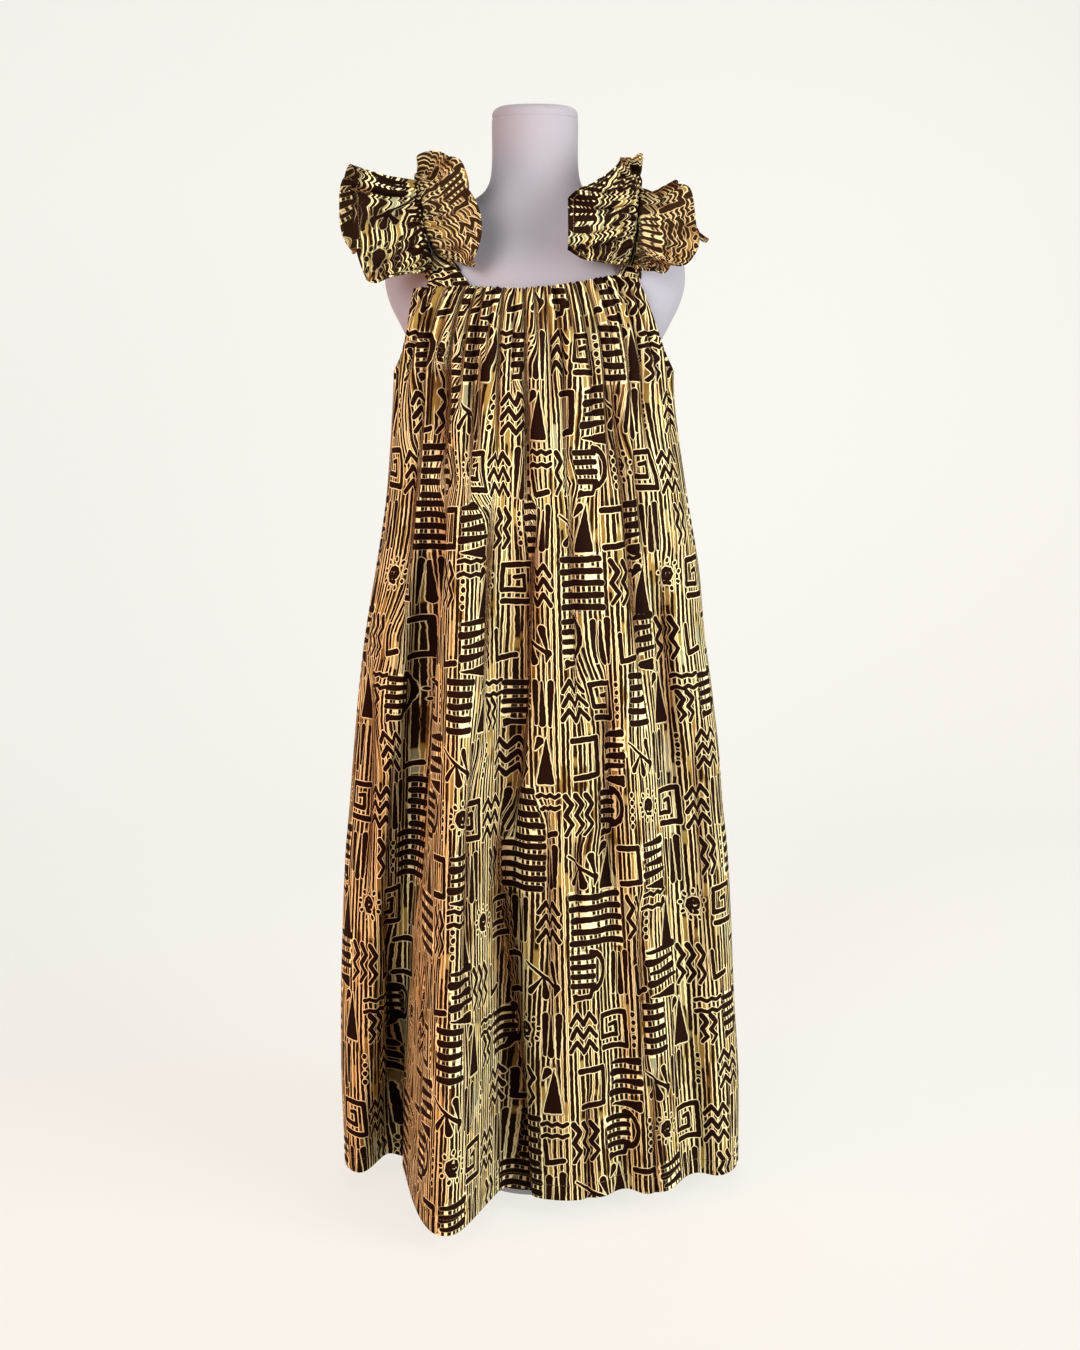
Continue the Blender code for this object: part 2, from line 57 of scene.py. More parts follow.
# Sizes that the dress shares with its solids.
HEM_Z = 0.025
ARMHOLE_Z = 1.043
NECK_Z = 1.143
PLAN_POWER = 0.75
FOLD_TOP_Z = 1.06
FOLD_GROWTH = 1.1
FOLD_SEAM_FADE = math.radians(14.0)
SEAM_GAP = 0.0003
CURVE_SAMPLES = 1441
ANCHOR_X = -0.016


def metres(rows: tuple, lengths: slice = slice(None)) -> tuple:
    """Turn rows of numbers with lengths in millimetres into rows with lengths in metres."""
    table = np.array(rows, dtype=float)
    table[:, lengths] /= 1000.0
    return tuple(map(tuple, table.tolist()))


# The tables are given in millimetres where no other unit is named.
# Height, left edge x, right edge x, front centre y, back centre y.
OUTLINE = metres((
    (25, -249, 266, -140, 160),
    (140, -252, 265, -139, 158),
    (240, -251, 258, -138, 155),
    (350, -247, 252, -137, 151),
    (440, -242, 246, -136, 147),
    (500, -236, 239, -136, 144),
    (570, -230, 233, -136, 141),
    (650, -222, 223, -136, 137),
    (720, -213, 213, -136, 133),
    (800, -199, 205, -137, 128),
    (880, -186, 191, -138, 123),
    (943, -180, 181, -138, 119),
    (1000, -176, 173, -135, 115),
    (1043, -173, 170, -129, 112),
    (1092, -172, 170, -119, 109),
    (1143, -172, 170, -109, 107),
))

# Height in metres, left and right edge of the cloth in degrees from the centre line.
ARMHOLE = (
    (1.043, 90.0, 90.0),
    (1.05, 79.0, 79.0),
    (1.062, 71.0, 70.0),
    (1.09, 64.5, 60.5),
    (1.118, 61.0, 53.5),
    (1.143, 57.5, 47.5),
)

# Place along the neck edge from -1 to 1, rise above its lowest part in metres.
NECK_RISE = (
    (-1.0, 0.0),
    (-0.5, 0.002),
    (0.0, 0.0),
    (0.45, 0.007),
    (0.8, 0.015),
    (1.0, 0.006),
)

# Large folds: x at the hem, x at the top, half width at the hem, half width at the top, reach.
FRONT_FOLDS = metres((
    (-186, -108, 24, 12, -100),
    (-110, -78, 40, 20, 128),
    (-34, -30, 19, 10, -28),
    (46, 18, 40, 16, 14),
    (112, 60, 16, 10, -16),
    (152, 90, 20, 12, 12),
    (204, 128, 22, 12, -34),
))
BACK_FOLDS = metres((
    (-194, -120, 26, 12, -40),
    (-126, -78, 36, 16, 52),
    (-50, -34, 22, 12, -46),
    (22, 16, 34, 16, 34),
    (92, 58, 20, 12, -40),
    (146, 98, 28, 14, 40),
    (206, 136, 22, 12, -30),
))

# Valleys between the gathers of the neck.
# Columns: x at the neck, lower end z, depth, left width, right width, share of hidden cloth.
FRONT_GATHERS = metres((
    (-139, 1000, 2.5, 4, 3, 1.0),
    (-129, 930, 3, 4, 4, 1.0),
    (-118, 990, 2.2, 3, 4, 1.0),
    (-106, 880, 3.6, 5, 4, 1.2),
    (-94, 1030, 2, 3, 3, 0.8),
    (-83, 930, 3.2, 4, 4, 1.0),
    (-70, 980, 2.6, 4, 3, 1.0),
    (-60, 870, 3.8, 5, 4, 1.2),
    (-48, 1040, 2, 3, 3, 0.7),
    (-37, 920, 3, 4, 4, 1.0),
    (-24, 1000, 2.4, 3, 4, 0.9),
    (-13, 880, 3.6, 4, 5, 1.2),
    (-1, 1050, 1.8, 3, 3, 0.6),
    (11, 950, 2.8, 4, 4, 1.0),
    (22, 890, 3.4, 5, 4, 1.1),
    (35, 1020, 2.2, 3, 3, 0.8),
    (46, 940, 3, 4, 4, 1.0),
    (59, 870, 3.4, 4, 5, 1.1),
    (70, 1030, 2, 3, 3, 0.7),
    (81, 950, 2.8, 4, 4, 1.0),
    (94, 900, 3.6, 5, 5, 1.2),
    (105, 1010, 2.4, 3, 4, 0.9),
    (117, 930, 3, 4, 4, 1.0),
    (130, 990, 2.4, 4, 3, 0.8),
), slice(5))
BACK_GATHERS = metres((
    (-134, 980, 2.6, 4, 4, 1.0),
    (-121, 900, 3.4, 5, 4, 1.1),
    (-108, 1020, 2.2, 3, 4, 0.8),
    (-95, 940, 3, 4, 4, 1.0),
    (-80, 860, 3.8, 5, 5, 1.2),
    (-68, 1010, 2.4, 3, 3, 0.8),
    (-55, 920, 3.2, 4, 5, 1.0),
    (-40, 990, 2.4, 4, 3, 0.9),
    (-28, 850, 4, 5, 5, 1.3),
    (-14, 1030, 2, 3, 3, 0.7),
    (0, 930, 3, 4, 4, 1.0),
    (12, 970, 2.6, 4, 4, 0.9),
    (26, 870, 3.6, 5, 4, 1.2),
    (39, 1020, 2.2, 3, 3, 0.8),
    (51, 910, 3.4, 4, 5, 1.1),
    (66, 980, 2.6, 4, 4, 0.9),
    (79, 850, 3.8, 5, 5, 1.2),
    (93, 1000, 2.4, 3, 4, 0.8),
    (106, 930, 3, 4, 4, 1.0),
    (120, 980, 2.6, 4, 4, 0.9),
), slice(5))

# Valleys further down. Columns: upper z, upper x, lower z, lower x, bow, left width,
# right width, depth, share of hidden cloth.
FRONT_VALLEYS = metres((
    (1070, -108, 900, -112, 0, 16, 6, 11, 1.5),
    (930, -106, 330, -146, -6, 26, 10, 18, 3.0),
    (900, 2, 420, -30, 0, 22, 8, 16, 3.0),
    (540, -42, 25, -14, 0, 20, 11, 13, 2.0),
    (1080, 88, 600, 134, 4, 9, 12, 12, 2.0),
    (1080, -66, 920, -66, 0, 6, 6, 6, 1.0),
    (1040, -10, 840, -8, 0, 6, 8, 8, 1.2),
    (420, -180, 25, -176, 0, 14, 7, 15, 1.0),
    (700, -200, 300, -214, 0, 10, 10, 6, 1.0),
    (360, -139, 170, -139, 0, 12, 10, 5, 0.6),
    (500, 50, 330, 55, 0, 7, 7, 6, 0.6),
    (170, 66, 25, 68, 0, 7, 8, 6, 0.6),
    (200, 152, 25, 153, 0, 9, 9, 7, 0.7),
    (920, 40, 600, 50, 2, 9, 12, 6, 1.2),
    (840, 150, 420, 178, 3, 12, 10, 7, 1.5),
    (720, 85, 300, 98, -2, 12, 10, 6, 1.2),
    (980, 118, 780, 136, 1, 8, 8, 6, 1.0),
    (900, -50, 600, -62, 2, 9, 8, 7, 1.2),
    (600, -75, 200, -86, 0, 10, 12, 6, 1.0),
    (970, -140, 720, -160, -2, 9, 7, 7, 1.0),
    (620, -170, 300, -190, 1, 10, 10, 6, 1.0),
    (550, 15, 180, 20, 0, 10, 8, 5, 0.8),
    (420, 125, 80, 141, 1, 10, 10, 6, 0.8),
    (660, 195, 200, 222, 2, 10, 12, 6, 0.8),
), slice(8))
BACK_VALLEYS = metres((
    (1050, -96, 700, -118, -3, 12, 8, 10, 1.6),
    (960, -30, 480, -44, 2, 10, 16, 13, 2.4),
    (900, 70, 420, 86, 3, 14, 9, 12, 2.2),
    (990, 118, 660, 146, 2, 9, 10, 8, 1.4),
    (1030, 20, 800, 22, -1, 8, 7, 7, 1.0),
    (820, -150, 380, -178, -2, 10, 12, 8, 1.2),
    (560, -88, 150, -96, 1, 12, 9, 7, 1.0),
    (500, 18, 25, 24, -2, 10, 13, 7, 1.0),
    (460, 128, 60, 136, 2, 9, 12, 7, 0.9),
    (740, 176, 300, 200, 1, 11, 10, 6, 0.9),
    (320, -20, 25, -16, 0, 8, 8, 6, 0.7),
    (280, -160, 25, -168, 0, 9, 10, 7, 0.7),
    (240, 80, 25, 82, 0, 8, 7, 5, 0.6),
    (780, 34, 560, 40, 1, 8, 9, 5, 0.8),
    (700, -66, 460, -70, 0, 9, 8, 5, 0.8),
    (400, 190, 120, 204, 0, 10, 9, 6, 0.7),
), slice(8))

# Heights in metres of the closest rows of a panel, above the hem and above the armhole's foot.
HEM_ROWS = (0.0, 0.001, 0.003, 0.008, 0.014, 0.018, 0.019, 0.0202, 0.0214, 0.023)
ARMHOLE_ROWS = (0.0005, 0.0012, 0.0022, 0.0036, 0.0052, 0.0072, 0.0098, 0.0128, 0.0165)

VALLEY_POWER = 1.35
VALLEY_PINCH = 0.0016
EVEN_SHARE = 0.25

# Grain lines of the cloth that the print follows: x at the top, x at the hem.
FRONT_GRAIN = metres((
    (-125, -172),
    (-78, -110),
    (-30, -56),
    (18, 46),
    (75, 132),
    (125, 200),
))
BACK_GRAIN = metres((
    (-112, -150),
    (-55, -70),
    (0, 4),
    (50, 60),
    (95, 110),
    (135, 170),
))
GRAIN_FADE = 0.006
FAN_DEPTH = 0.125
FAN_SPREAD = 0.36
FAN_BELOW = 0.3

# Height, half width, front y, back y of the dress form.
TORSO = metres((
    (606, 118, -70, 78),
    (612, 134, -84, 92),
    (628, 144, -93, 102),
    (700, 152, -100, 110),
    (760, 144, -94, 100),
    (858, 118, -83, 76),
    (940, 130, -100, 80),
    (1000, 142, -114, 88),
    (1040, 149, -115, 91),
    (1075, 154, -108, 92),
    (1100, 166, -100, 91),
    (1125, 178, -93, 90),
    (1150, 184, -85, 88),
    (1175, 182, -77, 84),
    (1197, 171, -69, 78),
    (1214, 152, -62, 71),
    (1227, 129, -57, 64),
    (1238, 102, -53, 58),
    (1248, 78, -51, 54),
    (1262, 60, -50, 51),
    (1285, 53, -49, 49),
    (1350, 52, -48, 48),
    (1356.5, 49, -45, 45),
    (1360, 43, -39, 39),
))

# Straps: angle over the shoulder in degrees, centre x, width, clearance from the form.
LEFT_STRAP = metres((
    (-44.0, -109, 38, 4.5),
    (-32.0, -128, 16, 3),
    (-16.0, -138, 12, 1.8),
    (0.0, -140, 12, 1.4),
    (16.0, -137, 12, 1.8),
    (32.0, -127, 16, 3),
    (44.0, -114, 22, 4.5),
), slice(1, None))
RIGHT_STRAP = metres((
    (-44.0, 113, 24, 4.5),
    (-32.0, 120, 14, 3),
    (-16.0, 124, 12, 1.8),
    (0.0, 126, 12, 1.4),
    (16.0, 124, 12, 1.8),
    (32.0, 120, 14, 3),
    (44.0, 112, 22, 4.5),
), slice(1, None))

# Free edges of the frills: place from front to back, x, y, z, rise near the strap.
LEFT_OUTER_FRILL = metres((
    (0.0, -150, -108, 1160, 8),
    (0.04, -172, -124, 1150, 14),
    (0.09, -192, -136, 1150, 24),
    (0.14, -208, -140, 1182, 34),
    (0.19, -213, -136, 1228, 42),
    (0.25, -211, -124, 1264, 48),
    (0.31, -218, -102, 1281, 50),
    (0.37, -230, -76, 1260, 46),
    (0.43, -231, -58, 1214, 42),
    (0.49, -222, -40, 1186, 38),
    (0.56, -216, -16, 1190, 36),
    (0.63, -214, 8, 1226, 40),
    (0.7, -204, 26, 1258, 40),
    (0.77, -208, 50, 1238, 32),
    (0.85, -210, 76, 1196, 20),
    (0.93, -186, 100, 1164, 12),
    (1.0, -154, 104, 1164, 8),
), slice(1, None))
LEFT_INNER_FRILL = metres((
    (0.0, -72, -110, 1166, 8),
    (0.05, -69, -122, 1176, 10),
    (0.1, -66, -134, 1206, 20),
    (0.16, -70, -136, 1240, 30),
    (0.22, -82, -124, 1274, 38),
    (0.28, -92, -104, 1292, 42),
    (0.34, -120, -86, 1298, 40),
    (0.39, -142, -68, 1293, 40),
    (0.45, -128, -46, 1284, 30),
    (0.52, -92, -32, 1262, 34),
    (0.59, -90, -8, 1270, 38),
    (0.67, -116, 12, 1292, 36),
    (0.75, -98, 38, 1280, 34),
    (0.84, -80, 68, 1244, 22),
    (0.92, -74, 96, 1200, 10),
    (1.0, -82, 106, 1168, 8),
), slice(1, None))
RIGHT_INNER_FRILL = metres((
    (0.0, 86, -112, 1172, 8),
    (0.05, 72, -120, 1170, 8),
    (0.1, 50, -132, 1176, 16),
    (0.15, 38, -134, 1194, 24),
    (0.2, 36, -128, 1224, 30),
    (0.26, 46, -114, 1252, 34),
    (0.32, 73, -98, 1268, 36),
    (0.38, 101, -86, 1288, 34),
    (0.44, 122, -70, 1298, 26),
    (0.51, 108, -48, 1284, 24),
    (0.58, 78, -36, 1264, 28),
    (0.66, 76, -8, 1274, 30),
    (0.74, 100, 16, 1290, 28),
    (0.84, 80, 64, 1250, 20),
    (0.92, 70, 94, 1204, 10),
    (1.0, 84, 106, 1168, 8),
), slice(1, None))
RIGHT_OUTER_FRILL = metres((
    (0.0, 142, -110, 1168, 8),
    (0.05, 152, -118, 1162, 6),
    (0.1, 172, -128, 1170, 12),
    (0.16, 191, -126, 1194, 18),
    (0.22, 185, -114, 1230, 22),
    (0.29, 178, -98, 1260, 26),
    (0.36, 164, -78, 1257, 28),
    (0.43, 172, -56, 1236, 28),
    (0.5, 198, -40, 1208, 26),
    (0.58, 208, -12, 1198, 28),
    (0.66, 192, 14, 1232, 30),
    (0.74, 176, 36, 1254, 28),
    (0.82, 192, 64, 1216, 18),
    (0.91, 180, 94, 1174, 8),
    (1.0, 146, 106, 1166, 8),
), slice(1, None))
FRILL_RISE = (
    (0.0, 0.0),
    (0.03, 0.7),
    (0.14, 1.0),
    (0.54, 0.55),
    (1.0, 0.0),
)


class Motif(Enum):
    """The kinds of common signs that the print is made of, each named as the method that draws it."""

    LADDER = "ladder"
    COMB = "comb"
    REEDS = "reeds"
    PEAK = "peak"
    SUN = "sun"
    MEANDER = "meander"
    BRACKET = "bracket"
    CORNER = "corner"
    CHEVRONS = "chevrons"
    ZIGZAG = "zigzag"
    SPRIG = "sprig"
    WEDGES = "wedges"
    WAVES = "waves"
    DOTS = "dots"


# Layout of one repeat of the print, in millimetres.
# Columns: motif, centre x, centre y, width, height, count.
LAYOUT = (
    (Motif.LADDER, 45, 331, 72, 50, 5),
    (Motif.ZIGZAG, 104, 331, 26, 44, 2),
    (Motif.WAVES, 142, 349, 40, 14, 2),
    (Motif.DOTS, 129, 322, 6, 26, 4),
    (Motif.PEAK, 165, 322, 22, 50, 1),
    (Motif.SUN, 206, 336, 30, 30, 1),
    (Motif.MEANDER, 252, 331, 36, 40, 1),
    (Motif.REEDS, 296, 330, 28, 50, 3),
    (Motif.CHEVRONS, 337, 330, 32, 46, 3),
    (Motif.COMB, 30, 270, 44, 52, 4),
    (Motif.REEDS, 78, 268, 26, 50, 3),
    (Motif.CORNER, 111, 262, 22, 28, 1),
    (Motif.WEDGES, 152, 268, 44, 54, 4),
    (Motif.ZIGZAG, 199, 268, 38, 42, 3),
    (Motif.CORNER, 238, 266, 20, 30, 1),
    (Motif.BRACKET, 282, 268, 30, 42, 1),
    (Motif.SPRIG, 328, 270, 42, 40, 1),
    (Motif.CHEVRONS, 20, 208, 32, 46, 3),
    (Motif.MEANDER, 64, 206, 36, 38, 1),
    (Motif.DOTS, 92, 206, 6, 34, 5),
    (Motif.LADDER, 130, 207, 34, 50, 5),
    (Motif.PEAK, 180, 205, 24, 52, 1),
    (Motif.WAVES, 219, 221, 36, 13, 2),
    (Motif.ZIGZAG, 217, 194, 24, 30, 2),
    (Motif.COMB, 263, 205, 44, 50, 4),
    (Motif.SUN, 309, 209, 32, 32, 1),
    (Motif.REEDS, 342, 206, 24, 48, 3),
    (Motif.BRACKET, 30, 146, 32, 42, 1),
    (Motif.WEDGES, 80, 145, 38, 52, 4),
    (Motif.SPRIG, 127, 148, 38, 38, 1),
    (Motif.REEDS, 166, 146, 24, 48, 3),
    (Motif.DOTS, 200, 147, 6, 30, 4),
    (Motif.CHEVRONS, 246, 146, 34, 44, 3),
    (Motif.CORNER, 281, 141, 20, 30, 1),
    (Motif.ZIGZAG, 310, 146, 24, 42, 2),
    (Motif.PEAK, 343, 144, 22, 48, 1),
    (Motif.ZIGZAG, 20, 86, 36, 42, 3),
    (Motif.COMB, 72, 86, 42, 50, 4),
    (Motif.DOTS, 108, 88, 6, 34, 5),
    (Motif.SUN, 138, 92, 30, 30, 1),
    (Motif.MEANDER, 180, 87, 34, 38, 1),
    (Motif.CHEVRONS, 222, 84, 34, 46, 3),
    (Motif.REEDS, 259, 86, 26, 48, 3),
    (Motif.LADDER, 303, 86, 40, 50, 5),
    (Motif.WAVES, 343, 100, 28, 13, 2),
    (Motif.CORNER, 342, 75, 20, 24, 1),
    (Motif.SPRIG, 26, 28, 40, 38, 1),
    (Motif.PEAK, 64, 28, 24, 48, 1),
    (Motif.BRACKET, 100, 28, 30, 40, 1),
    (Motif.WEDGES, 143, 28, 36, 50, 4),
    (Motif.REEDS, 184, 28, 26, 48, 3),
    (Motif.ZIGZAG, 232, 28, 24, 40, 2),
    (Motif.DOTS, 255, 28, 6, 30, 4),
    (Motif.LADDER, 295, 28, 58, 46, 5),
    (Motif.REEDS, 343, 28, 22, 46, 3),
)
SPREAD = 1.15
TILE = 0.360 * SPREAD
MILLIMETRE = 0.001
NEAREST = 4

# Radians per metre at which a wave texture of scale 1 runs.
WAVE_RATE = 20.0

# Where an unfolded sheet lies on a square of side 1: left edge and width of its right side
# and of its wrong side, lower edge and height of both, and left edge, distance and width of
# the strips for its cut edges.
UNFOLD_RIGHT = (0.004, 0.840)
UNFOLD_WRONG = (0.850, 0.110)
UNFOLD_UP = (0.003, 0.994)
UNFOLD_EDGES = (0.966, 0.0085, 0.006)


def smooth(value: Array) -> Array:
    """Ease values between 0 and 1."""
    value = np.clip(value, 0.0, 1.0)
    return value * value * (3.0 - 2.0 * value)


def along(table: tuple, key: float) -> Array:
    """Read every column of a table at a key, on a curve through its rows.

    Args:
        table: Rows whose first column is the key, in rising order.
        key: Where to read the table.

    Returns:
        The values of the other columns.
    """
    rows = np.array(table, dtype=float)
    last = len(rows) - 1
    if key <= rows[0, 0]:
        return rows[0, 1:]
    if key >= rows[last, 0]:
        return rows[last, 1:]
    index = int(np.searchsorted(rows[:, 0], key, side="left")) - 1
    low, high = rows[index], rows[index + 1]
    before, after = rows[max(index - 1, 0)], rows[min(index + 2, last)]
    span = high[0] - low[0]
    part = (key - low[0]) / span
    slope_low = (high - before) / max(high[0] - before[0], span) * span
    slope_high = (after - low) / max(after[0] - low[0], span) * span
    square = part * part
    cube = square * part
    value = (2.0 * cube - 3.0 * square + 1.0) * low
    value += (cube - 2.0 * square + part) * slope_low
    value += (3.0 * square - 2.0 * cube) * high
    value += (cube - square) * slope_high
    return value[1:]


def along_many(table: tuple, keys: Array) -> Array:
    """Read the second column of a table at many keys."""
    return np.array([along(table, float(key))[0] for key in keys])


def fall_at(height: float) -> float:
    """Return how far down the folds a height is, from 0 at their top to 1 at the hem."""
    return float(np.clip((FOLD_TOP_Z - height) / (FOLD_TOP_Z - HEM_Z), 0.0, 1.0))


def fan(height: float) -> float:
    """Return how far the gathers have spread at a height, from 1 at the neck edge."""
    part = min(max((NECK_Z - height) / FAN_DEPTH, 0.0), 1.0)
    below = max(NECK_Z - FAN_DEPTH - height, 0.0)
    return 1.0 + FAN_SPREAD * (1.0 - (1.0 - part) ** 2) + FAN_BELOW * below


def unit(vectors: Array) -> Array:
    """Scale vectors to a length of one."""
    return vectors / np.maximum(np.linalg.norm(vectors, axis=-1, keepdims=True), 1e-9)


@dataclass
class Field:
    """The place that one motif fills, in millimetres, and how many parts it has."""

    x: float
    y: float
    width: float
    height: float
    count: int

    def __post_init__(self) -> None:
        """Work out the four edges, and the measures between them."""
        self.left, self.right = self.x - self.width / 2.0, self.x + self.width / 2.0
        self.low, self.high = self.y - self.height / 2.0, self.y + self.height / 2.0
        self.wide, self.tall = self.right - self.left, self.high - self.low

    def around(self, turn: float, reach: float) -> tuple:
        """Return the place at an angle and a distance from the centre."""
        return (self.x + reach * math.cos(turn), self.y + reach * math.sin(turn))


@dataclass
class Print:
    """One repeat of the print, as brush strokes with a round end each.

    A stroke has two ends, each with a half width, the width of the pale line round it,
    and the width of the plain ground round it, which is drawn in to a share of what is asked.
    """

    weight: float = 1.72
    line: float = 1.9
    bar: float = 2.4
    pale: float = 0.9
    plain: float = 1.7
    clear: float = 0.45
    square: float = 0.0138
    neighbours: int = 24
    seed: int = 11

    def __post_init__(self) -> None:
        """Draw the whole repeat."""
        self.strokes: list[tuple] = []
        self.hand = np.random.default_rng(self.seed)
        for motif, *sizes, count in LAYOUT:
            draw = getattr(self, motif.value)
            draw(Field(*(size * SPREAD for size in sizes), count))
        self.table = np.array(self.strokes) * MILLIMETRE
        starts, ends = self.table[:, 0:2], self.table[:, 3:5]
        self.runs = ends - starts
        self.middles = (starts + ends) / 2.0
        self.lengths = np.maximum((self.runs * self.runs).sum(axis=1), 1e-12)
        self.sort_strokes()

    def stroke(
        self, points: list, half: float, plain: float, end: float = 0.0, pale: float = 0.0
    ) -> None:
        """Add a line of strokes through points.

        Args:
            points: Places in millimetres.
            half: Half width at the start.
            plain: Width of the plain ground round it.
            end: Half width at the end, or 0 for the same as at the start.
            pale: Width of the pale line round it, or 0 for the usual one.
        """
        finish = end or half
        total = len(points) - 1
        for index in range(total):
            (ax, ay), (bx, by) = points[index], points[index + 1]
            first = (half + (finish - half) * index / total) * self.weight
            second = (half + (finish - half) * (index + 1) / total) * self.weight
            self.strokes.append((ax, ay, first, bx, by, second, pale or self.pale, plain * self.clear))

    def shaky(self, amount: float) -> float:
        """Return a small offset such as a hand makes."""
        return float(self.hand.uniform(-amount, amount))

    def bracket(self, at: Field) -> None:
        """Draw an open square."""
        corner = (at.right, at.low + 3.0)
        self.stroke([(at.left, at.high - 2.0), (at.right - 2.0, at.high), corner], 2.3, 1.8)
        self.stroke([corner, (at.left + 3.0, at.low)], 2.3, 1.8)

    def corner(self, at: Field) -> None:
        """Draw an upright line with a foot."""
        heel = (at.left + 2.0, at.low)
        self.stroke([(at.left, at.high), heel], 2.0, 1.8)
        self.stroke([heel, (at.right, at.low + 4.0)], 2.2, 1.8)

    def dots(self, at: Field) -> None:
        """Draw a column of dots."""
        for index in range(at.count):
            place = at.low + at.tall * index / (at.count - 1)
            across = at.x + self.shaky(0.8)
            self.stroke([(across, place), (across + 0.4, place + 0.6)], 1.9, 2.0)

    def ladder(self, at: Field) -> None:
        """Draw level bars on pale ground."""
        for index in range(at.count):
            place = at.high - at.tall * index / (at.count - 1)
            start = (at.left + self.shaky(2.0), place + self.shaky(0.9))
            middle = ((at.left + at.right) / 2.0 + self.shaky(6.0), place + self.shaky(1.2))
            end = (at.right + self.shaky(2.0), place + self.shaky(0.9))
            self.stroke([start, middle, end], self.bar, 0.0, pale=3.7)

    def comb(self, at: Field) -> None:
        """Draw level teeth joined by a bow, on a stem with a hook and a foot."""
        middle = (at.low + at.high) / 2.0 + 6.0
        reach = at.high - middle
        spine = at.left + at.wide * 0.58
        for index in range(at.count):
            place = middle + reach * (1.0 - 2.0 * (index + 0.5) / at.count)
            self.stroke([(at.left, place), (spine + 4.0, place + self.shaky(0.8))], 2.2, 0.0, pale=3.2)
        bow = []
        for step in range(9):
            turn = math.pi / 2.0 - math.pi * step / 8.0
            bow.append((spine + (at.right - spine) * math.cos(turn), middle + reach * math.sin(turn)))
        self.stroke(bow, 2.3, 1.6)
        foot = (at.left + 4.0, at.low + 3.0)
        self.stroke([(spine, middle - reach), (spine - 3.0, at.low + 4.0), foot], 2.0, 1.6)
        self.stroke([foot, (at.left, at.low + 6.0)], 1.6, 1.6, 0.4)
        self.stroke([foot, (at.left + 1.0, at.low - 2.0)], 3.2, 1.6, 0.6)

    def reeds(self, at: Field) -> None:
        """Draw tall upright strokes that taper."""
        for index in range(at.count):
            place = at.left + at.wide * (index + 0.4) / at.count
            start = (place + self.shaky(1.5), at.low + abs(self.shaky(7.0)))
            end = (place + self.shaky(2.0), at.high - abs(self.shaky(6.0)))
            foot, tip = (2.9, 1.0) if index % 2 else (1.5, 2.8)
            self.stroke([start, end], foot, 1.4, tip)

    def peak(self, at: Field) -> None:
        """Draw a tall solid triangle with a small wedge at its tip."""
        tip = (at.left + at.wide * 0.55, at.high)
        edge = 1.7
        for share in (0.0, 0.22, 0.42, 0.62, 0.82, 1.0):
            spot = at.left + edge + (at.right - 3.0 - at.left - 2.0 * edge) * share
            self.stroke([tip, (spot, at.low + edge)], 0.5, 5.5, edge)
        base = [(at.left + edge, at.low + edge), (at.right - 3.0 - edge, at.low + edge)]
        self.stroke(base, edge, 5.5)
        wedge = [(at.left - 1.0, at.high - 13.0), (at.left + 5.5, at.high - 3.0)]
        self.stroke(wedge, 0.8, 4.0, 3.4)

    def sun(self, at: Field) -> None:
        """Draw a round spiral with dots round it."""
        radius = at.width / 2.0
        spiral = []
        for step in range(15):
            reach = 1.2 + (radius * 0.62 - 1.2) * step / 14.0
            spiral.append(at.around(0.9 * step / 14.0 * 4.0 * math.pi, reach))
        self.stroke(spiral, 1.5, 4.5, 1.7)
        for step in range(9):
            turn = 2.0 * math.pi * (step + 0.3) / 9.0
            self.stroke([at.around(turn, radius), at.around(turn, radius * 1.09)], 1.4, 3.4)

    def meander(self, at: Field) -> None:
        """Draw a square spiral."""
        step = at.wide / 4.4
        path = [
            (at.left + 1.5, at.low + 1.0),
            (at.right, at.low),
            (at.right - 1.5, at.high),
            (at.left + 1.0, at.high - 1.5),
            (at.left, at.low + 1.6 * step),
            (at.right - 1.6 * step, at.low + 1.5 * step),
            (at.right - 1.7 * step, at.high - 1.5 * step),
            (at.left + 1.6 * step, at.high - 1.7 * step),
        ]
        self.stroke(path[1:], 2.2, 2.2, 1.7)
        self.stroke([path[0], path[1]], 2.2, 2.2)

    def chevrons(self, at: Field) -> None:
        """Draw level zigzags, one above another."""
        gap = at.tall / at.count
        for index in range(at.count):
            place = at.low + gap * (index + 0.5)
            path = []
            for corner in range(5):
                across = at.left + at.wide * corner / 4.0 + self.shaky(1.2)
                up = place + (gap * 0.36 if corner % 2 else -gap * 0.36) + self.shaky(0.8)
                path.append((across, up))
            self.stroke(path, self.line, self.plain)

    def zigzag(self, at: Field) -> None:
        """Draw upright zigzags, one beside another."""
        gap = at.wide / at.count
        for index in range(at.count):
            place = at.left + gap * (index + 0.5)
            path = []
            for corner in range(5):
                up = at.low + at.tall * corner / 4.0 + self.shaky(0.8)
                across = place + (gap * 0.30 if corner % 2 else -gap * 0.30) + self.shaky(0.8)
                path.append((across, up))
            self.stroke(path, 1.6, self.plain, 2.3)

    def sprig(self, at: Field) -> None:
        """Draw a slanted stem with leaves."""
        middle = ((at.left + at.right) / 2.0, (at.low + at.high) / 2.0)
        stem = [(at.left, at.high - 6.0), middle, (at.right, at.low + 9.0)]
        self.stroke(stem, 0.9, 3.0, 1.8)
        self.stroke([stem[1], (stem[1][0] + 5.0, at.low)], 0.6, 3.0, 3.4)
        self.stroke([stem[2], (at.right - 8.0, at.high - 8.0)], 0.6, 3.0, 3.2)
        self.stroke([stem[2], (at.right - 3.0, at.low - 1.0)], 3.0, 3.0, 0.6)
        self.stroke([stem[1], (at.left + 8.0, at.low + 4.0)], 0.6, 3.0, 2.6)

